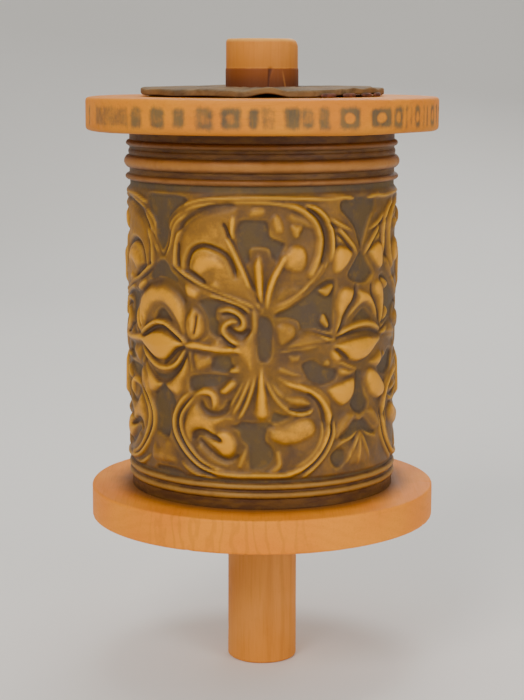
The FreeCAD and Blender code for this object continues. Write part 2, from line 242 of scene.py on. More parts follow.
def rim_waves(finish, tone):
    """Faint dark lines that climb the rim where the turning cut across the rings."""
    swing = finish.clouds(9, 2.0, along=finish.stretched(1, 1, 0.35))
    across = finish.added(finish.across(0), swing, 17.0)
    line = finish.ramp(finish.reckon("SINE", finish.times(across, 1.15)), 0.25, 1.0)
    seen = finish.times(finish.ramp(finish.radius(), LOWER_REACH - 3, LOWER_REACH - 1),
                        finish.ramp(finish.across(0), 30, 10))
    seen = finish.times(seen, finish.ramp(finish.across(0), -62, -40))
    return finish.tinted(tone, finish.times(line, seen), 0.22, paint(150, 96, 54))


def foot_shade(finish, tone):
    """Painted shade on the lower disc's top, darkest where the drum meets it, with a cloudy edge."""
    near = finish.ramp(finish.added(finish.radius(), finish.clouds(9, 3.0), 4.0), 78.0, 65.0)
    return finish.tinted(tone, near, 0.88, paint(104, 74, 51))


def stub_stain(finish, tone):
    """Oil stain at the stub's foot, darkest at the leather, with a sharp top line."""
    level = finish.added(finish.across(2), finish.clouds(3, 2.0), 0.5)
    share = finish.times(finish.ramp(level, SHOULDER + 0.55, SHOULDER + 0.1),
                         finish.ramp(level, UPPER_BASE, UPPER_TOP))
    inside = finish.mixed(finish.ramp(level, SHOULDER - 7.5, SHOULDER - 1.0),
                          paint(76, 38, 26), paint(120, 70, 31))
    streaks = finish.clouds(2.2, 3.0, along=finish.stretched(1, 1, 0.2))
    inside = finish.tinted(inside, streaks, 0.4, paint(104, 58, 36))
    tone = finish.tinted(tone, share, 0.9, inside)
    tone = finish.mixed(finish.attribute("crack"), tone, paint(56, 28, 18))
    return finish.mixed(finish.attribute("splinter"), tone, paint(188, 132, 88))


def stub_fade(finish, tone):
    """The stub is duller low down, and its top arris is rubbed pale."""
    stub = finish.ramp(finish.across(2), UPPER_BASE, UPPER_TOP)
    tone = finish.tinted(tone, stub, 0.45, paint(184, 118, 50))
    low = finish.ramp(finish.across(2), AXLE_LENGTH - 2, SHOULDER)
    tone = finish.tinted(tone, low, 0.35, paint(160, 100, 48))
    rub = finish.ramp(finish.across(2), AXLE_LENGTH - 2.2, AXLE_LENGTH - 0.4)
    return finish.tinted(tone, rub, 0.45, paint(230, 190, 130))


def rim_paint(finish, tone):
    """Worn marks in thin paint round the rim."""
    grain = finish.clouds(1.3, 4.0, 0.65)
    wear = finish.clouds(5, 3.0, 0.6)
    streaks = finish.clouds(1.0, 2.0, along=finish.stretched(1, 1, 0.12))
    share = finish.added(finish.added(finish.attribute("marks"), grain, 0.35), wear, 0.9)
    share = finish.ramp(finish.added(share, streaks, 0.4), 0.95, 1.85)
    tint = finish.mixed(finish.ramp(finish.clouds(9, 2.0), 0.4, 0.6),
                        paint(98, 88, 68), paint(78, 76, 64))
    tint = finish.tinted(tint, finish.ramp(streaks, 0.45, 0.75), 0.7, paint(122, 96, 64))
    low = finish.ramp(finish.across(2), UPPER_BASE + 4.5, UPPER_BASE)
    tone = finish.tinted(tone, low, 0.4, paint(128, 94, 54))
    return finish.tinted(tone, share, 0.92, tint)


def relief_finish():
    """Worn gilding on the raised forms, dull paint on the flat ground, painted shade in the grooves and a
    painted highlight on the crests.
    """
    finish = Finish("gilt_relief", Metallic=0.1, Specular_IOR_Level=0.4)
    gilt = finish.attribute("gilt")
    ground = finish.attribute("ground")
    hollow = finish.attribute("hollow")
    crest_highlight = finish.attribute("crest_highlight")
    broad = finish.clouds(15, 3.0, 0.55)
    patches = finish.clouds(6, 4.0, 0.6)
    fine = finish.clouds(1.4, 4.0, 0.6)
    thick = finish.added(finish.added(gilt, patches, 0.6), fine, 0.25)
    bed = finish.mixed(finish.ramp(broad, 0.38, 0.62), paint(96, 72, 42), paint(84, 64, 46))
    middle = finish.mixed(finish.ramp(broad, 0.4, 0.6), paint(142, 104, 50), paint(128, 94, 54))
    body = finish.mixed(finish.ramp(thick, 0.55, 1.15), bed, middle)
    body = finish.mixed(finish.ramp(thick, 1.05, 1.5), body, paint(206, 150, 64))
    # painted highlight: the crests of the forms tinted pale gold
    body = finish.tinted(body, crest_highlight, 0.5, paint(222, 172, 96))
    dull = finish.mixed(finish.ramp(broad, 0.4, 0.6), paint(88, 72, 51), paint(80, 67, 54))
    dull = finish.mixed(finish.ramp(patches, 0.5, 0.75), dull, paint(104, 82, 52))
    body = finish.mixed(finish.ramp(finish.added(ground, fine, 0.4), 0.5, 1.0), body, dull)
    # painted shade: the grooves and hollows darkened towards dark brown
    groove_shade = finish.ramp(finish.added(hollow, fine, 0.3), 0.25, 1.1)
    body = finish.tinted(body, groove_shade, 0.85, paint(60, 42, 22))
    rough = finish.added(finish.added(0.4, fine, 0.22), ground, 0.15)
    skin = finish.added(fine, patches, 0.8)
    return finish.done(body, rough, skin, 0.12)


def moulding_finish():
    """Gilding left on the crowns of the beads, and brown ground in the quirks between them."""
    finish = Finish("gilt_moulding", Metallic=0.1, Specular_IOR_Level=0.4)
    radius = finish.radius()
    broad = finish.clouds(13, 3.0, 0.55)
    streaks = finish.clouds(3, 4.0, 0.6, along=finish.stretched(0.25, 0.25, 1))
    fine = finish.clouds(1.2, 4.0, 0.6)
    height = finish.added(finish.added(radius, streaks, 0.7), fine, 0.4)
    gold = finish.mixed(finish.ramp(broad, 0.4, 0.6), paint(110, 75, 47), paint(100, 70, 50))
    crown = finish.ramp(finish.added(radius, broad, 1.6), 64.8, 66.2)
    gold = finish.tinted(gold, crown, 0.7, paint(178, 128, 82))
    foot = finish.ramp(finish.across(2), 120, 100)
    gold = finish.tinted(gold, foot, 0.8, paint(172, 134, 84))
    quirk = finish.mixed(finish.ramp(streaks, 0.35, 0.65), paint(74, 50, 25), paint(98, 70, 38))
    body = finish.mixed(finish.ramp(height, MOULDING_RADIUS + 0.6, MOULDING_RADIUS + 2.2), quirk, gold)
    rough = finish.added(0.42, fine, 0.25)
    return finish.done(body, rough, finish.added(fine, streaks, 1.0), 0.12)


def hide_finish():
    """Dry hide: dull grey-brown face, fine creases, edge rubbed a little, painted shade on its underside.
    """
    finish = Finish("cover_leather", Specular_IOR_Level=0.3)
    creases = finish.clouds(7, 5.0, 0.65, twist=1.2, along=finish.stretched(0.45, 1, 1))
    grain = finish.cells(0.9)
    broad = finish.clouds(22, 3.0)
    tone = finish.mixed(finish.ramp(broad, 0.36, 0.64), paint(124, 104, 80), paint(92, 78, 62))
    tone = finish.tinted(tone, finish.ramp(creases, 0.45, 0.7), 0.75, paint(66, 48, 32))
    worn = finish.added(finish.radius(), finish.clouds(7, 4.0, along=finish.stretched(0.5, 0.5, 1)), 6.0)
    tone = finish.tinted(tone, finish.ramp(worn, 58.5, 61), 0.35, paint(140, 108, 70))
    # painted shade on the faces that look down: the underside and the lower part of the edge
    under = finish.attribute("underside")
    tone = finish.tinted(tone, under, 0.85, paint(62, 42, 26))
    return finish.done(tone, finish.added(0.62, grain, 0.2), finish.added(creases, grain, 0.3), 0.35)


def plain_finish(name, pale, dark, size, depth, rough=0.6, run=(1, 1, 1), weave=None, **sockets):
    """Two tones in clouds, a fine second pattern, and a weave or twist where the stuff has one."""
    finish = Finish(name, **sockets)
    along = finish.stretched(*run)
    clouds = finish.clouds(size, 4.0, 0.6, along=along)
    fine = finish.clouds(size * 0.15, 3.0, 0.6, along=along)
    tone = finish.mixed(finish.ramp(clouds, 0.36, 0.66), pale, dark)
    tone = finish.tinted(tone, finish.ramp(fine, 0.5, 0.8), 0.4, dark)
    height = finish.added(fine, clouds, 0.5)
    if weave:
        waves = [finish.reckon("SINE", finish.times(number, FULL_TURN / weave))
                 for number in (finish.across(2), finish.added(finish.across(0), finish.across(1), 1.0))]
        threads = finish.ramp(finish.times(waves[0], waves[1]), -0.5, 0.8)
        tone = finish.tinted(tone, threads, 0.35, dark)
        height = finish.added(height, threads, 0.8)
    return finish.done(tone, finish.added(rough, fine, 0.2), height, depth)


FINISHES = {
    "axle_wood": wood_finish(
        "axle_wood", paint(234, 168, 110), paint(222, 152, 94), paint(172, 108, 60),
        pith=(34.0, 60.0, 0.0), ring=5.0, figure=0.26,
        layers=(handling, stub_fade, stub_stain), Specular_IOR_Level=0.3),
    "disc_wood": wood_finish(
        "disc_wood", paint(228, 150, 52), paint(222, 140, 46), paint(184, 114, 50),
        grain=1, pith=(-16.0, 0.0, -30.0), ring=4.6, figure=0.1,
        layers=(handling, rim_waves, foot_shade), Specular_IOR_Level=0.3),
    "painted_disc_wood": wood_finish(
        "painted_disc_wood", paint(212, 144, 30), paint(205, 132, 28), paint(168, 104, 36),
        grain=0, pith=(0.0, 40.0, 180.0), ring=5.2, figure=0.18,
        layers=(handling, rim_paint), Specular_IOR_Level=0.3),
    "collar_wood": wood_finish(
        "collar_wood", paint(164, 104, 58), paint(140, 84, 44), paint(84, 48, 24), ring=2.4),
    "peg_wood": wood_finish(
        "peg_wood", paint(176, 122, 70), paint(158, 104, 58), paint(96, 60, 30), ring=1.4),
    "plug_wood": wood_finish(
        "plug_wood", paint(206, 166, 112), paint(188, 144, 92), paint(136, 94, 54), grain=0, ring=3.6),
    "bush_wood": wood_finish(
        "bush_wood", paint(120, 78, 44), paint(96, 60, 34), paint(52, 30, 16), ring=1.8),
    "liner_wood": wood_finish(
        "liner_wood", paint(184, 140, 90), paint(164, 120, 74), paint(112, 76, 42), ring=3.0),
    "washer_leather": plain_finish(
        "washer_leather", paint(116, 74, 44), paint(70, 42, 26), 5.0, 0.2, rough=0.55),
    "chart_card": plain_finish(
        "chart_card", paint(196, 172, 120), paint(164, 132, 84), 20.0, 0.05, rough=0.7),
    "prayer_paper": plain_finish(
        "prayer_paper", paint(206, 184, 138), paint(168, 140, 94), 3.0, 0.1, rough=0.7, run=(1, 1, 0.1)),
    "wrapper_cloth": plain_finish(
        "wrapper_cloth", paint(178, 126, 44), paint(136, 84, 30), 9.0, 0.15, rough=0.7, weave=1.1),
    "tie_cord": plain_finish(
        "tie_cord", paint(138, 46, 36), paint(84, 26, 22), 4.0, 0.2, rough=0.7, weave=0.7),
    "gilt_relief": relief_finish(),
    "gilt_moulding": moulding_finish(),
    "tack_brass": plain_finish(
        "tack_brass", paint(190, 146, 74), paint(92, 66, 34), 1.6, 0.05, rough=0.3, Metallic=0.9),
    "cover_leather": hide_finish(),
    "lacing_leather": plain_finish(
        "lacing_leather", paint(112, 74, 60), paint(66, 42, 34), 2.4, 0.2, rough=0.55),
}


# ---------------------------------------------------------------------------
# Making a piece
# ---------------------------------------------------------------------------
def round_the_axle(radius, angle, level):
    """Points from a radius, an angle from the front and a level."""
    return np.stack([radius * np.sin(angle), -radius * np.cos(angle), level + 0 * angle], -1)


def make_mesh(name, points, faces, maps=None):
    """Smooth mesh from points in millimetres, with a float attribute for each map."""
    mesh = bpy.data.meshes.new(name)
    mesh.from_pydata((np.asarray(points).reshape(-1, 3) * MM).tolist(), [], list(faces))
    mesh.polygons.foreach_set("use_smooth", [True] * len(mesh.polygons))
    for label, numbers in (maps or {}).items():
        attribute = mesh.attributes.new(label, "FLOAT", "POINT")
        attribute.data.foreach_set("value", np.asarray(numbers, np.float32).ravel())
    mesh.update()
    return mesh


def put_in_scene(name, data):
    """New object at the origin for a mesh, a lamp or a camera."""
    thing = bpy.data.objects.new(name, data)
    bpy.context.scene.collection.objects.link(thing)
    return thing


def place_piece(name, mesh, body, slot, *nodes):
    """Show a finished mesh as the piece that stands for these CAD nodes."""
    piece = put_in_scene(name, mesh)
    mesh.materials.clear()
    mesh.materials.append(FINISHES[slot])
    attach(piece, body)
    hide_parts(*nodes)
    return piece


def ring_faces(rows, columns, closed):
    """Faces of a grid that goes round the axle, and round its own outline too if closed."""
    row, column = np.meshgrid(np.arange(rows if closed else rows - 1), np.arange(columns), indexing="ij")
    above, beside = (row + 1) % rows, (column + 1) % columns
    corners = [row * columns + column, row * columns + beside,
               above * columns + beside, above * columns + column]
    return np.stack([corner.ravel() for corner in corners], -1).tolist()


def capped_mesh(name, rings, first_end, last_end, maps=None):
    """Closed mesh through rings of points, drawn to a point at each end."""
    rows, columns = rings.shape[:2]
    points = np.vstack([rings.reshape(-1, 3), first_end, last_end])
    faces = ring_faces(rows, columns, closed=False)
    ends, last = rows * columns, (rows - 1) * columns
    for column in range(columns):
        beside = (column + 1) % columns
        faces.append([ends, beside, column])
        faces.append([ends + 1, last + column, last + beside])
    maps = {label: np.append(numbers.ravel(), [0, 0]) for label, numbers in (maps or {}).items()}
    return make_mesh(name, points, faces, maps)


def solid_of_rings(name, rings):
    """Closed mesh through a list of rings, its ends closed at their middles."""
    rings = np.asarray(rings)
    return capped_mesh(name, rings, rings[0].mean(0), rings[-1].mean(0))


def worn_outline(corners, closed=True, curve_points=7):
    """Points along an outline whose arrises are eased.

    A corner is (radius, level, easing, spacing): how far from it the curve starts, and how far
    apart the points on the run after it are.
    """
    points = []
    count = len(corners)
    for index, (radius, level, easing, spacing) in enumerate(corners):
        here = np.array([radius, level], float)
        before = np.array(corners[index - 1][:2], float)
        after = np.array(corners[(index + 1) % count][:2], float)
        if easing:
            start = here + (before - here) / np.linalg.norm(before - here) * easing
            end = here + (after - here) / np.linalg.norm(after - here) * easing
            for share in np.linspace(0, 1, curve_points):
                bend = 2 * share * (1 - share) * here
                points.append((1 - share) ** 2 * start + bend + share ** 2 * end)
        else:
            points.append(here)
        if not closed and index == count - 1:
            break
        next_easing = corners[(index + 1) % count][2]
        run = np.linalg.norm(after - here) - easing - next_easing
        steps = max(1, round(run / spacing))
        direction = (after - here) / np.linalg.norm(after - here)
        points += [here + direction * (easing + run * step / steps) for step in range(1, steps)]
    return np.array(points)


class Turning:
    """A piece off the lathe: an outline carried round the axle on a grid of points."""

    def __init__(self, outline, columns, closed=True):
        self.closed = closed
        self.angle = np.arange(columns) * FULL_TURN / columns
        before = np.roll(outline, 1, 0) if closed else np.vstack([outline[:1], outline[:-1]])
        after = np.roll(outline, -1, 0) if closed else np.vstack([outline[1:], outline[-1:]])
        along = after - before
        along /= np.linalg.norm(along, axis=1, keepdims=True)
        self.out_radius, self.out_level = along[:, 1:2], -along[:, 0:1]
        self.radius = np.repeat(outline[:, 0:1], columns, 1)
        self.level = np.repeat(outline[:, 1:2], columns, 1)

    def press(self, depth):
        """Push the surface in along its normal by a depth at each point."""
        self.radius = self.radius - depth * self.out_radius
        self.level = self.level - depth * self.out_level

    def uneven(self, seed, turns=12, rise=0.2):
        """Smooth wander over the surface from about -1 to 1, the same at each run."""
        draw = np.random.default_rng(seed)
        total = 0
        for _ in range(12):
            phase, climb = draw.uniform(0, FULL_TURN), draw.uniform(-rise, rise)
            total = total + np.cos(draw.integers(1, turns) * self.angle + climb * self.level + phase)
        return total / 5

    def dents(self, seed, count, low, high, size, depth):
        """Depth of scattered small dents between two levels."""
        draw = np.random.default_rng(seed)
        total = 0
        for _ in range(count):
            angle, level = draw.uniform(0, FULL_TURN), draw.uniform(low, high)
            wide, tall = draw.uniform(0.4, 1.0, 2) * size
            aside = (self.angle - angle + math.pi) % FULL_TURN - math.pi
            off = (aside * self.radius.max() / wide) ** 2 + ((self.level - level) / tall) ** 2
            total = np.maximum(total, draw.uniform(0.3, 1.0) * depth * np.exp(-off))
        return total

    def mesh(self, name, maps=None):
        points = round_the_axle(self.radius, self.angle[None, :], self.level)
        if self.closed:
            return make_mesh(name, points, ring_faces(*self.radius.shape, closed=True), maps)
        # the first and last rows are single points on the centre line
        inside = {label: numbers[1:-1] for label, numbers in (maps or {}).items()}
        return capped_mesh(name, points[1:-1], points[0, 0], points[-1, 0], inside)


def eased(share):
    """A share from 0 to 1 with a soft start and end."""
    return share * share * (3 - 2 * share)


def hump(number, centre, half_width):
    """Smooth hump of height 1 at centre, gone at half_width from it."""
    return eased(np.clip(1 - np.abs(number - centre) / half_width, 0, 1))


def turn_apart(angle, degrees):
    """Signed angle in degrees from a bearing, given in degrees from the front."""
    return (np.degrees(angle) - degrees + 180) % 360 - 180


# ---------------------------------------------------------------------------
# Axle
# ---------------------------------------------------------------------------
# Bearings are in degrees from the front.
SHARP_CROWN, WORN_CROWN = 2.2, 4.6     # rounding of the stub's top arris, and at its worn side
WORN_BEARING, WORN_HALF_WIDTH = 95, 75
FREE_BELOW, FREE_ABOVE = 58, 284       # the pole stands free under the collar and over the hide
SPLIT_FROM, SPLIT_FOOT = 272, 277      # the split runs on under the hide, narrow below its foot
SPLIT_BEARING, SPLINTER_BEARING = 10, 36
SPLIT_DEPTH = 0.8


def axle_outline(crown):
    """Outline of the axle; it has the same points whatever the size of its crown's rounding."""
    stub_spacing = (AXLE_LENGTH - SHOULDER - crown) / 20
    face_spacing = (STUB_RADIUS - crown) / 7
    return worn_outline([
        (0, 0, 0, 2.5), (FOOT_RADIUS, 0, 1.5, 2.0), (FOOT_RADIUS, FOOT_LENGTH, 0, 0.4),
        (JOURNAL_RADIUS, FOOT_LENGTH + 0.2, 0, 6.0), (JOURNAL_RADIUS, 274, 0, 0.5),
        (JOURNAL_RADIUS, SHOULDER - 0.2, 0, 0.4), (STUB_RADIUS, SHOULDER, 0, stub_spacing),
        (STUB_RADIUS, AXLE_LENGTH, crown, face_spacing), (0, AXLE_LENGTH, 0, 1)],
        closed=False, curve_points=11)


def make_axle():
    """Turned pole, its crown worn rounder on the right, split a little at the stub's foot."""
    sharp, soft = axle_outline(SHARP_CROWN), axle_outline(WORN_CROWN)
    axle = Turning(sharp, 256, closed=False)
    share = hump(turn_apart(axle.angle, WORN_BEARING), 0, WORN_HALF_WIDTH)[None, :]
    axle.radius += share * (soft - sharp)[:, 0:1]
    axle.level += share * (soft - sharp)[:, 1:2]
    free = np.clip((FREE_BELOW - axle.level) / 4, 0, 1) + np.clip((axle.level - FREE_ABOVE) / 3, 0, 1)
    axle.press(free * (0.12 + 0.12 * axle.uneven(3, turns=7, rise=0.05)))
    axle.press(free * axle.dents(4, 26, low=2, high=298, size=2.6, depth=0.25))
    rise = np.clip((axle.level - SPLIT_FOOT) / (SHOULDER - SPLIT_FOOT), 0, 1)
    across = np.radians(turn_apart(axle.angle, SPLIT_BEARING))[None, :] * STUB_RADIUS
    width = 0.3 + 1.1 * rise ** 2
    crack = np.clip(1 - np.abs(across - 0.9 * rise ** 2) / width, 0, 1) ** 0.7
    crack = crack * (axle.level > SPLIT_FROM) * np.clip((SHOULDER + 0.8 - axle.level) / 1.2, 0, 1)
    lean = np.radians(turn_apart(axle.angle, SPLINTER_BEARING))[None, :] * STUB_RADIUS - 1.0 + 2.0 * rise
    splinter = np.clip(1 - np.abs(lean) / 0.6, 0, 1) * (axle.level > SPLIT_FROM + 2)
    splinter = splinter * np.clip((SHOULDER - axle.level) / 4, 0, 1)
    axle.press(SPLIT_DEPTH * crack)
    mesh = axle.mesh("axle_turned", {"crack": SPLIT_DEPTH * crack, "splinter": 0.6 * splinter})
    place_piece("axle_turned", mesh, "axle", "axle_wood", "axle")


# ---------------------------------------------------------------------------
# Discs
# ---------------------------------------------------------------------------
def disc_turning(bottom, top, reach, arris, columns, rim_spacing):
    """Ring with a bore, an eased arris all round, and close points on its rim."""
    outline = worn_outline([
        (DISC_BORE, bottom, 0.4, 5.0), (reach - 8, bottom, 0, 1.6), (reach, bottom, arris, rim_spacing),
        (reach, top, arris, 1.6), (reach - 8, top, 0, 5.0), (DISC_BORE, top, 0.4, 5.0)])
    return Turning(outline, columns)


def rim_share(turning, reach):
    """1 on the rim, fading over the faces next to it."""
    return np.clip((turning.radius - reach + 7) / 5, 0, 1)


def make_lower_disc():
    """Plain disc, its rim handled out of true and dented."""
    disc = disc_turning(LOWER_BASE, LOWER_TOP, LOWER_REACH, arris=1.5, columns=480, rim_spacing=0.9)
    share = rim_share(disc, LOWER_REACH)
    disc.press(share * (0.22 + 0.2 * disc.uneven(11, turns=9)))
    disc.press(share * disc.dents(12, 70, LOWER_BASE, LOWER_TOP, size=2.2, depth=0.35))
    place_piece("lower_disc_worn", disc.mesh("lower_disc_worn"), "drum", "disc_wood", "lower_disc")


# Painted marks on the upper rim: bearing in degrees from the front, width in millimetres, how
# much of the middle is worn through, and how strong the paint still is. The same run repeats to
# fill the back of the rim.
RIM_MARKS = [
    (-55, 30, 0.0, 0.62), (-72, 3.0, 0.0, 0.9), (-64, 4.6, 0.0, 0.55), (-55, 5.0, 0.0, 0.6),
    (-48, 7.0, 0.0, 0.72), (-41.6, 8.0, 0.0, 0.85), (-33.3, 8.6, 0.05, 0.95), (-25.8, 6.8, 0.0, 1.0),
    (-17.4, 9.0, 0.12, 0.85), (-9.3, 9.4, 0.3, 0.95), (-2.5, 5.4, 0.1, 1.0), (1.8, 7.6, 0.0, 0.62),
    (9.0, 7.8, 0.0, 1.0), (13.8, 6.8, 0.25, 0.8), (18.8, 6.2, 0.1, 0.85), (27.2, 11.0, 1.0, 1.0),
    (39.2, 13.2, 0.8, 1.0), (46.6, 6.8, 0.7, 0.95), (50.7, 1.6, 0.0, 1.0), (53.3, 1.6, 0.0, 0.8),
    (57, 5.4, 0.8, 0.95), (61.2, 1.6, 0.0, 1.0), (64, 2.0, 0.0, 0.9), (69, 6.6, 0.7, 0.9),
    (74.8, 3.0, 0.0, 0.9), (80, 6.0, 0.4, 0.7),
]
MARK_RUNS = (0.0, 170.5)
MARK_BOTTOM, MARK_HEIGHT = 2.6, 10.0
MARK_CORNER = 2.4          # rounding of a mark's corners
MARK_FADE = 2.9            # how far the paint takes to thin out at a mark's edge


def rim_marks(turning):
    """How thick the paint is at each point of the rim, from 0 to 1."""
    middle = UPPER_BASE + MARK_BOTTOM + MARK_HEIGHT / 2
    total = np.zeros_like(turning.radius)
    for shift in MARK_RUNS:
        for number, (bearing, width, worn, strength) in enumerate(RIM_MARKS):
            across = np.radians(turn_apart(turning.angle, bearing + shift))[None, :] * UPPER_REACH
            up = turning.level - middle
            half, tall = width / 2, MARK_HEIGHT / 2 - 0.4 * math.sin(number * 2.1 + shift)
            corner = min(half, MARK_CORNER)
            over_x = np.maximum(np.abs(across) - half + corner, 0)
            over_z = np.maximum(np.abs(up) - tall + corner, 0)
            edge = corner - np.hypot(over_x, over_z)
            mark = np.clip(edge / MARK_FADE + 0.42, 0, 1)
            hole = np.clip(1.2 - np.hypot(across / (half * 0.5), up / (tall * 0.5)), 0, 1)
            total = np.maximum(total, strength * mark * (1 - worn * np.clip(hole * 1.9, 0, 1)))
    return total * (turning.radius > UPPER_REACH - 1.5)


def make_upper_disc():
    """Disc with a rounder arris and close columns that carry the painted marks."""
    disc = disc_turning(UPPER_BASE, UPPER_TOP, UPPER_REACH, arris=2.4, columns=720, rim_spacing=0.62)
    marks = rim_marks(disc)
    share = rim_share(disc, UPPER_REACH)
    disc.press(share * (0.25 + 0.22 * disc.uneven(21, turns=9)))
    disc.press(share * disc.dents(22, 60, UPPER_BASE, UPPER_TOP, size=2.4, depth=0.3))
    place_piece("upper_disc_worn", disc.mesh("upper_disc_worn", {"marks": marks}), "drum",
                "painted_disc_wood", "upper_disc")


# ---------------------------------------------------------------------------
# Ornament of the embossed sleeve
# ---------------------------------------------------------------------------
# Drawn flat: across is millimetres round the drum from the front, towards +X, and up is
# millimetres above the axle's foot. The drum carries the drawing twice.
CHART_PERIOD = 202.6
CHART_COLUMNS = 540
ACROSS_STEP = CHART_PERIOD / CHART_COLUMNS
UP_STEP = 0.375
SLEEVE_COLUMNS = 540
FRONT_FINENESS = 0.16      # how much closer the columns stand at the front than on average
SLEEVE_ROW = 0.75
BED = 1.05                 # height of the worn bed between the forms
BED_GILT = 0.5
LEAF_SHOULDER = 3.0        # how far in from its edge a leaf reaches its height
RIDGE_SPREAD = 1.75        # how much wider a ridge's foot is than the width it is drawn with
SEAM_RISE = 2.6            # height of the sheet's plain overlap
SEAM_HALF_WIDTH = 4.0

# Ground: flat, dull areas between the forms
MEDALLION_GROUND = [
    [(-11.5, 205), (-12, 212), (-11.5, 218), (-9, 220.3), (-3, 220.3), (2, 220), (3.5, 217), (4, 213),
     (8, 211), (11, 209.5), (9, 205), (7, 201.5), (4, 203), (2.5, 207), (-5, 207), (-5, 202),
     (-8, 199.5)],
    [(-31, 183), (-25, 184.8), (-18, 183), (-12, 180.8), (-16, 181), (-20.5, 180), (-21, 176),
     (-19.5, 174), (-20, 170), (-18, 167), (-22, 167), (-25, 170), (-26, 175), (-28, 179)],
    [(-2.5, 176), (0, 177.5), (3.5, 176.5), (5.5, 172), (5, 166), (4.8, 160), (3, 156.5), (0, 156),
     (-2, 158), (-2.8, 166)],
    [(-22.5, 159), (-15, 159.3), (-13.5, 156), (-12, 154.5), (-16, 151), (-20, 151), (-24, 152),
     (-24.5, 154.5)],
    [(-35.5, 143), (-35, 148.5), (-28, 150.3), (-20, 150.5), (-15, 150), (-12, 149), (-15, 147.8),
     (-20, 145), (-27, 143), (-33, 141.2)],
    [(-12, 128), (-9, 129.5), (-4, 129), (3, 129.5), (6, 127), (3, 125.5), (2, 121), (5, 117.5),
     (6, 113), (3, 108.5), (-2, 106.5), (-6, 107.5), (-6.5, 114), (-7, 118), (-10, 121), (-11, 124.5),
     (-16, 127)],
    [(6, 178.5), (13, 181.5), (21, 186.5), (26, 190.5), (31, 193), (35.5, 192), (35, 185), (34.5, 178),
     (34, 170), (30, 168.8), (24, 170.5), (18, 170.5), (16.5, 174), (12, 175.8), (6, 176)],
    [(18, 155), (24, 157), (29, 154), (33, 153), (37, 151.5), (36.5, 148), (34, 146), (28, 144.8),
     (22, 147), (20, 150)],
    [(5, 134), (9, 133), (14, 131.3), (8, 128.5), (4, 128.5), (4, 131)],
    [(-49.5, 144), (-47, 133), (-46.8, 122), (-46, 119.5), (-45, 124), (-45.5, 130), (-43, 135),
     (-44, 138)],
]

FLOWER_A_GROUND = [
    [(-51.5, 201), (-47.5, 199), (-45.5, 196), (-41.5, 192.8), (-42, 190), (-47, 191.5), (-53, 192.3),
     (-59, 190.5), (-61, 193), (-57, 198)],
    [(-51.5, 204.5), (-48, 208.5), (-47, 214), (-46.5, 219), (-41, 224.3), (-35, 227), (-38, 230),
     (-50, 230.5), (-62, 230), (-63, 225), (-58.5, 218), (-56, 211)],
    [(-57, 172), (-55, 177), (-51, 178.8), (-47, 176), (-44, 172), (-50, 173)],
    [(-63, 152.5), (-57, 149), (-50, 148.6), (-45, 149.8), (-42.5, 148.5), (-46, 146), (-51, 145),
     (-57, 145.5), (-61, 148)],
    [(-58.5, 130), (-58, 143), (-54, 144.5), (-50, 143.5), (-47, 138), (-46.5, 130), (-46.5, 122),
     (-48, 118.5), (-53, 119.5), (-58, 121.5)],
    [(-56, 102), (-56, 105), (-47, 105.3), (-40, 104.5), (-38, 102)],
]

FLOWER_B_GROUND = [
    [(39, 228.5), (37.5, 224), (42, 219.5), (46, 215), (48.5, 209), (50.5, 205), (52.5, 209), (55, 215),
     (58, 220), (62, 224), (60, 228.5), (50, 229.5)],
    [(42, 194), (46, 200), (48.5, 203), (50.5, 205), (53, 203), (56, 199), (60, 194), (56, 190.5),
     (52, 189.5), (46, 190.5)],
    [(45, 172.8), (48, 175.8), (52.5, 178.5), (57, 176), (60, 172.8), (52, 172)],
    [(47.5, 150), (47.8, 144), (46.5, 139), (44, 134.5), (47, 130.5), (51, 129), (56, 131), (57, 134.5),
     (54, 139), (53, 145), (52.5, 150)],
    [(37.5, 119.5), (42, 122.5), (47, 127.5), (50.5, 127), (54, 127.5), (60, 122.5), (64, 119.5),
     (57, 117), (51, 121), (45, 117)],
    [(33, 112), (37, 115), (41.5, 114), (42, 109), (38, 105.5), (34, 107.5)],
]

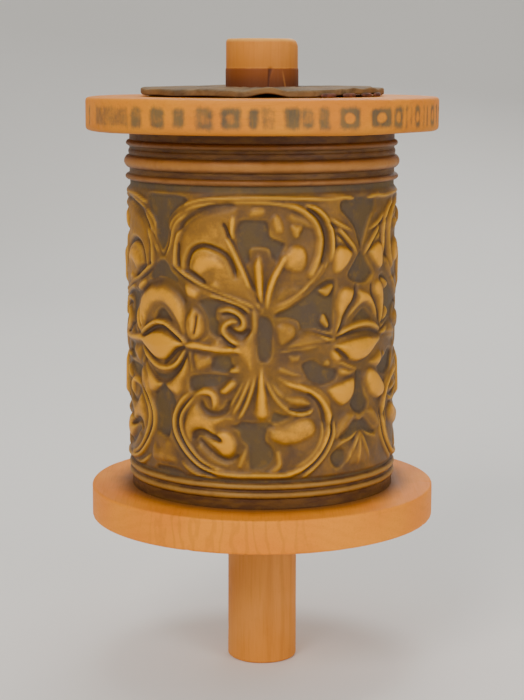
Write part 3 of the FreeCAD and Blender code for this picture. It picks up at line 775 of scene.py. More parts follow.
# Leaves, bulbs and petals: (height, gilding, outline)
MEDALLION_LEAVES = [
    # upper left lobe
    (2.3, 0.85, [(-40, 197), (-40.5, 205), (-39, 212), (-36.5, 216.5), (-31, 220.5), (-24, 223.3),
     (-16, 225.3), (-10, 226.2), (-10.5, 222), (-12, 218), (-12.3, 211), (-9.5, 203), (-6, 195),
     (-2, 186), (-1, 181.5), (-8, 183.5), (-15, 186), (-22, 188.5), (-29, 192), (-36, 195.5)]),
    (3.3, 0.92, [(-33.5, 197), (-33, 201), (-30, 204), (-25, 205.3), (-20, 204.3), (-17, 201.5),
     (-15.5, 198), (-17, 196), (-21, 197.3), (-25, 196), (-28, 194), (-31, 195)]),
    (2.7, 0.8, [(-26, 190.5), (-22, 193.7), (-19, 192), (-17, 189), (-14, 186.7), (-20, 187.6),
     (-25, 189.6)]),
    (3.2, 1.0, [(-13.2, 209.5), (-14.8, 214), (-15, 218), (-14.3, 221), (-12, 222), (-11.8, 219),
     (-12.3, 214)]),
    (2.2, 0.9, [(-6, 221), (-6.5, 223), (-5, 225.3), (-2, 226.3), (1, 225.8), (2, 224), (1, 221.7),
     (-2, 220.8)]),
    # upper right lobe
    (3.3, 0.88, [(9.5, 199), (10, 204), (12.5, 208), (16, 209.3), (19.5, 207.8), (21.2, 204),
     (20.8, 199.5), (18.5, 196.5), (15, 196), (12, 197)]),
    (1.9, 0.5, [(5.5, 184), (7, 189), (11, 191.8), (15, 192), (18, 190), (20, 189), (18.5, 187.2),
     (14, 185.3), (9, 182.8)]),
    (2.8, 0.85, [(3.6, 219.5), (5, 222.5), (7.5, 222.8), (9.5, 220.5), (10.5, 216.5), (9.7, 213.8),
     (6.5, 213.2), (4.5, 215)]),
    (2.0, 0.6, [(11.5, 223), (16, 223), (21, 220.5), (24, 217.5), (25, 213.5), (23, 215), (20, 216),
     (17, 217), (12.5, 218.5)]),
    (2.8, 0.8, [(12.5, 217.5), (14.5, 218.5), (17.5, 218), (19, 216.3), (18, 214), (17, 211.8),
     (15, 211.5), (13.2, 214)]),
    # spandrels beside the upper lobes
    (2.8, 1.0, [(-37.5, 190.5), (-34, 190.3), (-30, 188.2), (-29, 186.3), (-31, 183.8), (-34.5, 184),
     (-37, 186)]),
    (2.0, 0.5, [(35.5, 214.5), (39, 212.3), (43, 208.5), (45.5, 205), (43, 205.5), (39, 208),
     (36, 209)]),
    (3.5, 1.0, [(34.2, 206), (33.4, 201), (33.7, 196.5), (35.5, 195), (38.5, 195.6), (42, 198.5),
     (44.8, 202), (45.2, 204.3), (43, 206.3), (40, 207.5), (37, 208)]),
    (2.6, 0.75, [(25.8, 188), (28.5, 189.5), (32, 190.9), (34.5, 190.3), (33.5, 187.5), (31.5, 185.2),
     (29.5, 185.1), (27.5, 186.5)]),
    (2.4, 0.75, [(26.8, 174.5), (28, 177.3), (29.5, 177.5), (31.6, 174), (32.1, 171.3), (30.5, 170.7),
     (28, 172.5)]),
    # middle left
    (3.0, 0.95, [(-37.3, 184), (-35, 181.3), (-31, 179.3), (-28, 176), (-26.8, 171.5), (-28, 167.5),
     (-31, 165.2), (-34, 165), (-36.5, 167.5), (-37.3, 172), (-36.5, 176), (-34.3, 179.7),
     (-36.6, 182.5)]),
    (2.2, 0.8, [(-31, 163.2), (-25, 164.3), (-20.5, 166.6), (-18, 164.8), (-12, 162.5), (-20, 162)]),
    (2.8, 0.85, [(-12, 161.5), (-12, 164.5), (-8.5, 167), (-5.5, 171), (-4.6, 176), (-3, 176),
     (-2.8, 170), (-2.8, 162), (-3.2, 155), (-5, 151), (-8, 155), (-11, 159)]),
    (2.5, 0.8, [(-15.2, 152.3), (-13.5, 153.7), (-11, 154.2), (-9.5, 152.5), (-11, 151), (-14, 151)]),
    (2.6, 0.85, [(-33, 159.3), (-28, 159), (-23.8, 158.7), (-23.3, 155), (-26.5, 152.3), (-30, 150.9),
     (-32.3, 153)]),
    (1.8, 0.45, [(-36, 160), (-33.5, 159.5), (-32.8, 153), (-31.5, 151), (-34.8, 150.5), (-35.3, 154)]),
    (2.8, 1.0, [(-36.5, 158.5), (-35.2, 153), (-35.7, 149.5), (-38, 145.5), (-38.5, 141.5),
     (-41, 138.5), (-45, 139.3), (-48.8, 142), (-49, 144), (-45.5, 146), (-41.5, 150), (-38.7, 154)]),
    (2.9, 0.9, [(-20, 142.5), (-17, 146), (-14, 148.4), (-11.5, 147.4), (-11.8, 145), (-14.5, 142.3),
     (-17, 141)]),
    # middle right
    (2.8, 0.7, [(6.8, 173), (10, 174.6), (13.5, 174), (16, 171.5), (15.6, 168), (13, 165.6), (9, 163.5),
     (6.8, 166), (6.2, 170)]),
    (2.3, 0.6, [(6.5, 160.3), (11, 163.3), (15, 166), (18, 168.3), (22, 169.3), (26, 168.5),
     (30, 166.5), (35, 165), (31, 163), (27, 161.8), (22, 160.4), (16, 160.4), (11, 160)]),
    (2.0, 0.55, [(11.5, 159.8), (18, 160), (18.3, 157), (16.5, 155.3), (13, 155.5), (11.8, 157.6)]),
    (2.0, 0.6, [(28.8, 154), (29.3, 156.5), (31.5, 157.3), (33.4, 155), (32, 153)]),
    (2.3, 0.65, [(6.8, 154), (10, 154.8), (14, 152.8), (18, 150.8), (20.5, 149), (15, 149), (10, 150),
     (7.3, 151.5)]),
    # lower left lobe
    (2.7, 0.95, [(-38, 128), (-36, 133), (-32, 137), (-28.5, 134.5), (-26, 131.7), (-20, 131.3),
     (-14, 131.8), (-12.5, 129), (-17, 128.6), (-21, 126), (-20, 122), (-25, 122), (-29, 124),
     (-33, 122.5), (-34, 117.5), (-36.8, 119.8), (-38.6, 124)]),
    (3.3, 1.0, [(-29, 121.5), (-25, 120.8), (-22, 121), (-21.5, 124), (-18, 125.3), (-14.5, 124.3),
     (-12, 121.5), (-11, 118), (-12.8, 114), (-16, 112.4), (-19, 113.3), (-22, 115.8), (-25, 118.5)]),
    (1.9, 0.5, [(-33, 116), (-29, 119.3), (-25.5, 116), (-21, 112.5), (-15, 110), (-14, 107),
     (-22, 107.5), (-28, 110.5)]),
    (2.2, 0.7, [(-12.2, 108), (-11.5, 111), (-10, 114), (-7.4, 117.6), (-6.5, 114), (-7.5, 110),
     (-9, 107)]),
    (2.2, 0.75, [(6.3, 115.6), (6.4, 111), (5, 108.5), (2.5, 106), (7, 105.5), (9.7, 108.5), (9.5, 112),
     (8.2, 115.9)]),
    # lower right lobe
    (3.1, 0.84, [(3, 124.5), (4, 126.3), (9, 127.3), (14, 129.3), (18, 131), (22, 130.8), (25, 128.5),
     (25.8, 125), (24, 121.5), (20, 119.5), (15, 118), (10, 118), (6, 119.5), (3.3, 121.5)]),
    (2.6, 0.75, [(9.5, 140.5), (14, 141.4), (19, 140.8), (22, 138.5), (23.7, 136.8), (21, 135.6),
     (16, 135.7), (12, 137)]),
    (1.6, 0.35, [(12, 117), (19, 118.5), (24, 120), (26, 117), (22, 111), (16, 107), (10, 106.5)]),
]

FLOWER_A_LEAVES = [
    (3.0, 1.0, [(-69, 182), (-63, 186.3), (-55, 188.8), (-48, 188.4), (-42, 185.3), (-38.2, 181),
     (-36.8, 176), (-37.4, 170), (-37.2, 164.5), (-40.5, 170), (-45, 176.3), (-50, 180), (-55, 179.8),
     (-61, 175), (-66, 168), (-69.5, 165), (-70.5, 170), (-70.5, 176)]),
    (4.2, 1.1, [(-70.5, 162), (-64, 164.7), (-57, 167.2), (-50, 167.5), (-44, 165.8), (-37, 163),
     (-41.5, 160.8), (-45.5, 157.5), (-50, 154.6), (-56, 154.8), (-62, 157.8), (-67, 160.5)]),
    (2.5, 0.9, [(-70, 148), (-66.5, 150.5), (-62, 147.5), (-59, 144), (-59.5, 138), (-62, 135.5),
     (-67, 138), (-70, 142)]),
    (2.3, 0.8, [(-60, 107), (-60.5, 112), (-58, 115.8), (-54, 113.5), (-51, 117), (-48.5, 118.5),
     (-45.5, 117), (-45, 112), (-43, 108), (-48, 106.3), (-54, 106)]),
]

FLOWER_B_LEAVES = [
    (3.0, 1.0, [(36, 167), (38.3, 171), (39.5, 175), (42, 178.8), (45.5, 182.5), (46.6, 187),
     (44, 188.5), (40, 189.2), (36.5, 186.5), (35.2, 181), (35.8, 175), (35, 170)]),
    (3.0, 1.0, [(41, 173.5), (44, 177.5), (47.5, 182), (48.2, 186.5), (51, 187.4), (57, 185),
     (61.5, 179.5), (64.5, 172.5), (61.5, 174), (57.5, 177.8), (53, 180.2), (49, 178.8), (45, 176)]),
    (3.0, 1.0, [(67.5, 167), (65.5, 171.5), (65, 176), (62.5, 181), (59.5, 185.5), (61, 189.7),
     (65, 190.7), (68.7, 187), (69.7, 181), (69, 174)]),
    (4.3, 1.0, [(33.3, 162.2), (38, 163.8), (44, 165), (52, 165.3), (60, 164.5), (67, 163), (62, 160.3),
     (58, 157.2), (54, 155), (48, 154), (43, 155.3), (39.5, 158.3), (36.5, 160.8)]),
    (2.8, 0.95, [(33, 161), (35.5, 160.6), (38.3, 158), (39.3, 155.8), (36, 154.8), (33.3, 156.3),
     (32.4, 158.8)]),
    (2.6, 0.9, [(36.6, 151.5), (40, 152.6), (45, 150.9), (49, 150.6), (46, 148.6), (42, 147.6),
     (38, 148.2)]),
    (3.7, 1.0, [(30.8, 142.5), (33.5, 144.7), (38, 145.9), (43, 147), (46.4, 147), (47, 143), (46, 139),
     (43, 135.6), (39, 134.3), (36, 135.7), (32.8, 139)]),
    (3.6, 1.0, [(54, 147.5), (57, 150), (62, 148.7), (67, 145), (70.7, 140.5), (70, 136.5), (65, 134.6),
     (60, 136), (56, 139.5), (53.8, 143.5)]),
    (2.8, 0.85, [(56, 152.8), (62, 155.5), (66.5, 158), (68.5, 153.5), (65, 149.8), (60, 150.6)]),
    (2.5, 0.7, [(34.3, 120), (35.2, 124), (38, 128.5), (41, 131.5), (45, 131.7), (48.2, 129.5),
     (46, 126.5), (43, 123.5), (39.5, 121), (36.5, 118.6)]),
    (2.4, 0.6, [(53.8, 129.5), (57, 131.7), (61, 131.3), (65, 127.5), (68, 121.5), (64.5, 120.5),
     (60.5, 123.5), (57, 127)]),
    (1.9, 0.7, [(50.8, 120.5), (47, 115), (42.5, 107), (46, 105.3), (51, 105.3), (56, 106), (58, 108),
     (54.5, 115)]),
]

# Ridges and stems: (height, half width at start, half width at end, gilding, path)
MEDALLION_RIDGES = [
    # upper frame
    (2.6, 0.7, 0.8, 0.9, [(-38, 225.6), (-34, 227), (-28, 228.5), (-20, 229.2), (-10, 229.5),
     (0, 229.7), (12, 229.5), (24, 229), (32, 228.6), (40, 229.2), (46, 228.4)]),
    (2.4, 0.8, 0.8, 0.8, [(-38, 222.8), (-33, 225.2), (-27, 226.4), (-20, 227.2), (-12, 227.6),
     (-4, 227.7), (4, 227.4), (11, 226.2), (17, 224)]),
    (2.3, 0.6, 0.6, 0.85, [(-36, 223.3), (-40, 221.7), (-43.3, 219.3), (-45.3, 216.3), (-45.7, 212)]),
    (2.5, 0.7, 0.6, 0.8, [(-35, 222), (-40.3, 219.3), (-43.3, 215.8), (-44.8, 211), (-46.5, 206),
     (-49, 203)]),
    (2.6, 1.0, 1.2, 0.85, [(-38, 216.5), (-41, 212), (-42.6, 206), (-43, 200), (-42.5, 197.5)]),
    (2.8, 0.7, 0.8, 0.9, [(-43, 198), (-38, 195.2), (-32, 191.9), (-26, 189.5), (-20, 187.2),
     (-14, 185.2), (-7, 182.8), (-3, 180.5)]),
    (2.6, 0.7, 0.8, 0.85, [(-37, 192), (-30, 188.6), (-25, 186.4), (-20, 185.1), (-13, 183), (-8, 181),
     (-5, 178)]),
    (2.9, 1.3, 2.2, 0.8, [(10, 227.4), (16, 225.2), (20.5, 222.6), (24, 219), (26.3, 214.5), (27, 210),
     (26.3, 205), (24.8, 200), (22.8, 196)]),
    (3.2, 0.8, 1.0, 0.9, [(20, 226.3), (25, 224.6), (29.3, 221.3), (32, 217), (33.3, 212.5),
     (33.6, 207), (32.8, 201)]),
    (2.5, 0.6, 0.6, 0.75, [(31.5, 201), (28, 196), (24.6, 192.8), (21, 190.2), (16, 186.6)]),
    (2.6, 0.7, 0.8, 0.85, [(29.3, 200.5), (26, 195.5), (22.5, 191.8), (19, 188.6), (13, 184.3),
     (5, 180.5)]),
    (2.3, 0.6, 0.7, 0.7, [(20, 187.3), (15, 184), (10, 181.3), (4.5, 178.8)]),
    # upper stems
    (3.2, 1.2, 1.0, 0.95, [(-16.8, 212.5), (-13.3, 207), (-10.3, 201), (-7.6, 195), (-5.2, 189),
     (-2.7, 184), (-0.8, 180.5)]),
    (2.9, 0.6, 0.6, 0.8, [(-5, 191), (-3.2, 187.5), (-1.2, 183.8)]),
    (3.5, 2.2, 0.9, 0.95, [(-1.3, 203.6), (-1.6, 199), (-1.3, 194), (-0.9, 188), (-0.4, 183)]),
    (3.1, 1.3, 1.5, 0.95, [(2.2, 180.5), (3, 187), (4.8, 193), (7.5, 198.3), (10, 202.5), (11.5, 205)]),
    (2.3, 1.2, 1.2, 0.6, [(0.5, 183), (0.2, 178)]),
    # spandrel strokes
    (3.0, 0.7, 1.0, 0.9, [(36, 216), (39, 213.3), (42.5, 209.8), (45.5, 206.7), (48, 203.3)]),
    (2.8, 0.7, 0.8, 0.85, [(31.5, 220.8), (36, 218), (40, 216), (45.3, 213.8)]),
    (1.4, 0.5, 0.4, 0.5, [(35.5, 224.3), (40, 221), (44, 217.5)]),
    # middle left
    (2.0, 1.0, 0.7, 0.7, [(-30, 164.8), (-26.5, 166), (-24.3, 169)]),
    (3.2, 1.6, 1.3, 0.95, [(-37.5, 162.4), (-32, 162.8), (-26, 162.2), (-18, 161.6), (-12, 161.8),
     (-7, 160.5)]),
    (2.9, 1.1, 1.5, 0.85, [(-20, 179), (-15.5, 179.8), (-11.5, 178.3), (-8.8, 175.5), (-8.5, 172.6),
     (-10.5, 171.4), (-12.6, 172)]),
    (3.0, 1.2, 1.5, 0.9, [(-11, 174.2), (-14, 174.5), (-17, 172.8), (-17.6, 170), (-15.5, 167.2),
     (-12, 165), (-8, 164.5)]),
    (2.4, 1.5, 1.5, 0.65, [(-3.8, 181), (-3.4, 176), (-3.2, 168)]),
    # middle right
    (2.8, 0.8, 0.8, 0.85, [(26.5, 168), (31, 166), (36, 165.3)]),
    (2.0, 1.0, 1.0, 0.6, [(5.5, 150.5), (9.5, 148), (15, 147.2), (21, 148)]),
    # lower pistil and its fans
    (3.6, 0.8, 2.8, 1.0, [(-0.2, 154), (-0.3, 147), (-0.1, 141), (0, 136), (0, 133.4)]),
    (2.8, 0.7, 0.8, 0.85, [(-3, 151), (-4.5, 144.5), (-6.5, 138.5), (-8.8, 133.5), (-10.8, 130.3)]),
    (2.6, 0.7, 1.1, 0.8, [(-5, 150), (-7.8, 143.5), (-10.5, 137.5), (-13.5, 132.3)]),
    (2.2, 0.6, 0.8, 0.6, [(-7.5, 149.5), (-10.8, 142.5), (-14.5, 136.5), (-18, 133)]),
    (3.2, 1.4, 1.7, 0.95, [(-32, 140), (-28, 141.9), (-24.5, 142), (-22.3, 140.3), (-21.8, 137),
     (-22.8, 134.7)]),
    (2.7, 0.7, 0.9, 0.8, [(1, 150.5), (3.5, 144.5), (6.5, 139.5), (10, 135.7), (14, 133.2), (18, 132.1),
     (22, 132.8), (24, 134.3)]),
    (2.4, 0.8, 0.8, 0.7, [(3.5, 148.5), (7, 143), (11, 139.3)]),
    # lower frame, left
    (2.8, 1.0, 1.2, 0.85, [(-34.5, 141.3), (-39.3, 137), (-42.8, 131.5), (-44, 127), (-43.3, 122),
     (-40, 116.6), (-35, 111.3), (-29, 107.3), (-22, 105.2), (-12, 104.3), (0, 104.5), (10, 104.4),
     (16, 105)]),
    (2.8, 0.9, 0.8, 0.9, [(-31, 140.8), (-36, 135.6), (-39.4, 130.5), (-39.8, 125), (-37.6, 119.5),
     (-33.5, 114), (-28.5, 109.8), (-23, 107.3), (-17, 106.4)]),
    (2.3, 0.8, 1.0, 0.7, [(-40.5, 109), (-36, 105.8), (-31, 103.5), (-25, 102.5), (-20, 102.3)]),
    # lower frame, right
    (3.0, 1.3, 1.9, 0.95, [(9, 147.8), (14, 145.7), (19.5, 144), (25, 140.8), (29, 136.8),
     (31.8, 131.5), (32, 126)]),
    (3.0, 1.9, 1.0, 0.9, [(32, 127), (31, 120.5), (27.5, 114.3), (22, 109), (15, 105.7), (8, 104.3)]),
    (2.6, 0.7, 0.8, 0.75, [(28.5, 128.5), (28.4, 122), (25.8, 116), (21, 111), (15, 108)]),
    (2.7, 0.7, 0.8, 0.8, [(35, 127.5), (34.4, 120.5), (31, 113.8), (25.5, 108), (19, 103)]),
    (2.2, 0.7, 0.7, 0.75, [(20, 145.5), (26, 143), (30.5, 139), (33.6, 133)]),
]

FLOWER_A_RIDGES = [
    (3.5, 0.8, 0.8, 1.0, [(-69.5, 164.5), (-62, 169), (-56, 171.5), (-50, 171.7), (-45, 169.4),
     (-40, 165.9), (-36.5, 163.3)]),
    (3.2, 1.0, 1.0, 0.95, [(-68, 159.3), (-61, 154.4), (-55, 151.5), (-49, 151), (-44, 152.4),
     (-40.3, 155.4), (-37.7, 160)]),
    (2.3, 0.6, 0.6, 0.8, [(-66, 222), (-62.5, 219.3), (-59.3, 215.8), (-57.8, 211), (-55.5, 206),
     (-53, 203)]),
]

FLOWER_B_RIDGES = [
    (2.9, 1.2, 1.2, 0.9, [(36.5, 167), (42, 169.6), (50, 171), (58, 170.3), (66, 167.3)]),
    (2.5, 0.7, 0.8, 0.85, [(34.5, 155), (39, 154.2), (43, 152.4), (48.5, 150.6)]),
    (2.1, 0.7, 0.6, 0.7, [(35.5, 115.2), (40, 117.5), (45, 119), (49.5, 121.8)]),
    (2.0, 0.6, 0.6, 0.6, [(66, 115.2), (62, 117.5), (57, 119), (52.5, 121.8)]),
    (2.4, 0.9, 1.3, 0.95, [(50.8, 121), (47, 115), (42, 107)]),
    (2.5, 0.9, 1.3, 1.0, [(51, 121), (50.5, 113), (49.5, 106)]),
    (2.3, 0.9, 1.3, 0.8, [(51.2, 121), (54.5, 115), (58.5, 107)]),
    (1.6, 0.7, 0.6, 0.5, [(32.5, 107), (36, 105), (42, 104)]),
]

# Grooves: (depth, half width, path)
MEDALLION_GROOVES = [
    (2.2, 1.1, [(-13, 227), (-22, 226), (-30, 223.4), (-37, 219.3), (-40.2, 214.5)]),
    (2.4, 1.4, [(-36.3, 196.5), (-35.5, 201.5), (-33, 206), (-28, 208.1), (-22.5, 207.3),
     (-16.5, 204.3), (-13.5, 199.5), (-12, 195)]),
    (2.2, 1.3, [(-36, 197), (-31, 194), (-27, 191.6)]),
    (1.6, 1.0, [(-14.8, 213), (-12, 207), (-8.6, 200), (-5.7, 193), (-3.4, 187), (-0.6, 181.5)]),
    (1.8, 1.0, [(-17.8, 218.5), (-16.3, 215.5), (-15.2, 212)]),
    (1.4, 0.8, [(-6.2, 190), (-4.2, 186), (-2, 182.5)]),
    (1.4, 0.8, [(-41, 209), (-41.2, 203), (-40.9, 198.5)]),
    (1.6, 0.6, [(-45, 197.3), (-39, 193.8), (-34, 190.9), (-29, 188.2), (-24, 186)]),
    (1.2, 0.5, [(-36, 193.3), (-29, 190), (-23, 187.8), (-17, 185.7), (-11, 183.6)]),
    (1.4, 0.6, [(-22, 184), (-16, 182.7), (-11, 180.8), (-7, 178)]),
    (1.8, 1.0, [(21, 224.6), (25.5, 221.5), (28.7, 217), (30.3, 211), (29.8, 205), (28.4, 200.8)]),
    (1.0, 0.5, [(29.5, 198), (25.5, 193.8), (21, 190)]),
    (1.2, 0.6, [(31, 218.5), (37, 215)]),
    (1.5, 0.7, [(36, 213.5), (41, 209), (44.8, 205.3)]),
    (1.8, 0.8, [(-31, 177), (-31.4, 172), (-32.6, 167.5)]),
    (1.0, 0.5, [(-34.8, 174), (-34.6, 170), (-33.6, 166.8)]),
    (1.8, 0.7, [(-19, 168), (-15.5, 164.8), (-12.3, 162.8)]),
    (1.6, 0.8, [(-18.5, 177.6), (-14, 177.6), (-11, 176.2), (-10, 174.2)]),
    (2.2, 1.1, [(-14.8, 171.3), (-12.5, 169.4), (-8.5, 168.8), (-5.8, 170.5)]),
    (2.0, 1.2, [(-29, 137.5), (-27.8, 134.7), (-25, 132.6), (-21, 132.2), (-17, 134), (-14.8, 138)]),
    (1.8, 0.6, [(-33, 139.7), (-38, 134.6), (-41.4, 129.5), (-41.8, 124.5), (-39, 118.4), (-34, 112.7),
     (-28.5, 108.6), (-22, 106.3)]),
    (2.2, 1.3, [(-33, 120.5), (-31, 123), (-27, 123.4), (-23.5, 121.8), (-18, 119.6)]),
    (1.8, 0.8, [(-29.5, 119.8), (-25, 115.9), (-20, 112.4), (-15, 111.2), (-11, 113.5)]),
    (1.8, 0.8, [(12, 134.6), (17, 134), (22.5, 134.6)]),
    (1.6, 0.8, [(21, 142), (26, 138), (28.7, 133), (29.6, 128)]),
    (1.4, 0.6, [(34, 130), (33.3, 123), (30, 116), (25, 110), (19, 105.5)]),
    (1.4, 0.8, [(18, 170.3), (24, 170), (30, 167.6), (34.5, 166)]),
    (1.0, 0.5, [(8, 161.5), (16, 162.8), (26, 164), (33, 164)]),
]

FLOWER_A_GROOVES = [
    (2.0, 1.2, [(-70, 184), (-62, 188.6), (-54, 191), (-47, 190.5), (-41, 187), (-37.5, 182.5)]),
    (1.8, 0.8, [(-69, 163.2), (-62, 166.6), (-56, 169), (-50, 169.3), (-45, 167.3), (-39, 164)]),
    (1.8, 0.7, [(-38, 161.6), (-42.5, 159.5), (-46.5, 155.8), (-50, 153.3)]),
    (1.8, 1.1, [(-37.3, 158), (-40, 153), (-44, 148.8), (-50, 145), (-56, 145), (-62, 149.5),
     (-67, 156)]),
    (1.8, 0.8, [(-46.3, 214), (-47.5, 207.5), (-51.3, 202.6), (-55, 207), (-58, 213)]),
    (1.6, 0.8, [(-46, 128), (-45.3, 121), (-41, 114.7), (-36, 110), (-30, 106), (-22, 103.4)]),
]

FLOWER_B_GROOVES = [
    (2.2, 0.8, [(47.6, 189), (47, 184.5), (43.8, 179.3), (40.5, 174), (37, 168)]),
    (2.2, 0.8, [(58.5, 189), (59, 184.5), (62.3, 179.3), (65, 174), (67.5, 168)]),
    (2.0, 0.8, [(36, 165.6), (42, 167.2), (50, 167.8), (58, 167.3), (67, 165)]),
    (1.2, 0.5, [(35.8, 161.3), (39.2, 159), (42.8, 155.8)]),
    (0.8, 0.5, [(47.5, 119), (45, 111)]),
]


def smooth_line(points, closed=False, pieces=6):
    """Points along the smooth line that passes through the given ones."""
    points = np.array(points, float)
    if closed:
        before, after, later = (np.roll(points, shift, 0) for shift in (1, -1, -2))
        spans = len(points)
    else:
        longer = np.vstack([2 * points[0] - points[1], points, 2 * points[-1] - points[-2]])
        before, after, later = longer[:-3], longer[2:-1], longer[3:]
        spans = len(points) - 1
    line = []
    for k in range(spans):
        a, b, c, d = before[k], points[k], after[k], later[k]
        for t in np.linspace(0, 1, pieces, endpoint=False):
            line.append(0.5 * (2 * b + (c - a) * t + (2 * a - 5 * b + 4 * c - d) * t ** 2
                               + (3 * b - a - 3 * c + d) * t ** 3))
    line.append(line[0] if closed else points[-1])
    return np.array(line)


class Chart:
    """The ornament on a flat grid: height over the ground, gilding, and where flat ground shows."""

    def __init__(self):
        self.across = -CHART_PERIOD / 2 + np.arange(CHART_COLUMNS) * ACROSS_STEP
        self.up = np.arange(SLEEVE_BASE, SLEEVE_TOP + UP_STEP / 2, UP_STEP)
        turn, level = np.meshgrid(self.across / CHART_PERIOD * FULL_TURN, self.up / 14)
        swell = np.sin(5 * turn + 1.3 * level) + np.sin(9 * turn - 2.1 * level + 1)
        swell += np.sin(3 * turn + 3 * level)
        self.height = BED + 0.13 * swell
        self.gilt = BED_GILT + 0.06 * swell
        self.ground = np.zeros(self.height.shape)

    def cells_near(self, line, margin):
        """Grid cells near a line, and their places; the columns wrap round."""
        low, high = line.min(0) - margin, line.max(0) + margin
        columns = np.arange(math.floor((low[0] - self.across[0]) / ACROSS_STEP),
                            math.ceil((high[0] - self.across[0]) / ACROSS_STEP) + 1)
        rows = np.arange(max(0, math.floor((low[1] - self.up[0]) / UP_STEP)),
                         min(len(self.up), math.ceil((high[1] - self.up[0]) / UP_STEP) + 1))
        across, up = np.meshgrid(self.across[0] + columns * ACROSS_STEP, self.up[0] + rows * UP_STEP)
        return across, up, np.ix_(rows, columns % CHART_COLUMNS)

    @staticmethod
    def measure(across, up, line):
        """Distance to the line, the share of it passed by the nearest point, and if inside it."""
        best = np.full(across.shape, 1e9)
        passed = np.zeros(across.shape)
        inside = np.zeros(across.shape, bool)
        for k, (a, b) in enumerate(zip(line[:-1], line[1:])):
            run = b - a
            along = (across - a[0]) * run[0] + (up - a[1]) * run[1]
            share = np.clip(along / max(run @ run, 1e-12), 0, 1)
            distance = np.hypot(across - a[0] - share * run[0], up - a[1] - share * run[1])
            nearer = distance < best
            best = np.where(nearer, distance, best)
            passed = np.where(nearer, (k + share) / (len(line) - 1), passed)
            if a[1] != b[1]:
                inside ^= ((a[1] > up) != (b[1] > up)) & (across < a[0] + run[0] * (up - a[1]) / run[1])
        return best, passed, inside

    def lay(self, cells, form, gilt, where):
        """Lay a form over what is there, where it stands higher."""
        over = where & (form > self.height[cells])
        self.height[cells] = np.where(over, form, self.height[cells])
        self.gilt[cells] = np.where(over, gilt, self.gilt[cells])
        self.ground[cells] *= np.where(over, np.clip(1.5 - form, 0, 1), 1)

    def flatten(self, outline):
        """Clear an area down to the flat ground, with a soft edge."""
        line = smooth_line(outline, closed=True)
        across, up, cells = self.cells_near(line, 1)
        distance, _, inside = self.measure(across, up, line)
        share = eased(np.where(inside, np.clip(distance / 1.2, 0, 1), 0))
        self.height[cells] *= 1 - share
        self.gilt[cells] *= 1 - 0.6 * share
        self.ground[cells] = np.maximum(self.ground[cells], share)

    def raise_leaf(self, height, gilt, outline):
        """Raise a leaf or petal that rounds up from its edge and swells a little to its middle."""
        line = smooth_line(outline, closed=True)
        across, up, cells = self.cells_near(line, 1)
        distance, _, inside = self.measure(across, up, line)
        distance = np.where(inside, distance, 0)
        edge = 1 - np.clip(distance / min(LEAF_SHOULDER, distance.max()), 0, 1)
        form = height * (0.72 * np.sqrt(1 - edge ** 2) + 0.28 * distance / distance.max())
        # the gilding brightens towards the middle of the leaf: painted highlight on its top, painted shade
        # near its edge
        self.lay(cells, form, gilt * (0.62 + 0.38 * form / height), inside)

    def raise_ridge(self, height, start, end, gilt, points):
        """Raise a stalk or scroll. It thins to its start, and to its end unless that is much wider."""
        line = smooth_line(points)
        across, up, cells = self.cells_near(line, max(start, end) * RIDGE_SPREAD + 2)
        distance, passed, _ = self.measure(across, up, line)
        length = np.hypot(*np.diff(line, axis=0).T).sum()
        thin = np.clip((passed * length + 0.6) / 5, 0, 1)
        if end < 1.6 * start:
            thin = thin * np.clip(((1 - passed) * length + 0.6) / 5, 0, 1)
        thin = 0.3 + 0.7 * np.sqrt(thin)
        half = (start + (end - start) * passed) * RIDGE_SPREAD * thin
        share = np.clip(1 - distance / half, 0, 1)
        skirt = np.clip(1 - distance / (1.5 * half + 0.6), 0, 1)
        form = height * thin * (0.45 * skirt + 0.55 * eased(share))
        # the gilding brightens towards the ridge's top: painted highlight there, painted shade on its
        # flanks
        self.lay(cells, form, gilt * (0.6 + 0.4 * form / height), skirt > 0)

    def carve(self, depth, half, points):
        """Cut a groove, shallower at its ends, that stops just above the flat ground."""
        line = smooth_line(points)
        across, up, cells = self.cells_near(line, half + 1)
        distance, passed, _ = self.measure(across, up, line)
        taper = np.clip(np.minimum(passed, 1 - passed) * 8 + 0.4, 0, 1)
        cut = depth * taper * np.clip(1 - (distance / (half * 1.25)) ** 2, 0, 1) ** 1.2
        old = self.height[cells]
        self.height[cells] = np.maximum(old - cut, np.minimum(old, 0.15))


def softened(grid, size):
    """The grid blurred over size millimetres, wrapping round the drum."""
    for step, axis in ((ACROSS_STEP, 1), (UP_STEP, 0)):
        reach = int(3 * size / step) + 1
        weights = np.exp(-0.5 * (np.arange(-reach, reach + 1) * step / size) ** 2)
        weights /= weights.sum()
        count = grid.shape[axis]
        margins = [(0, 0), (0, 0)]
        margins[axis] = (reach, reach)
        padded = np.pad(grid, margins, mode="wrap" if axis == 1 else "edge")
        grid = sum(weight * padded.take(range(k, k + count), axis) for k, weight in enumerate(weights))
    return grid


def mirrored(points):
    """The same line in the medallion that stands upright between the two flowers behind."""
    return [(CHART_PERIOD / 2 - across, up) for across, up in points]


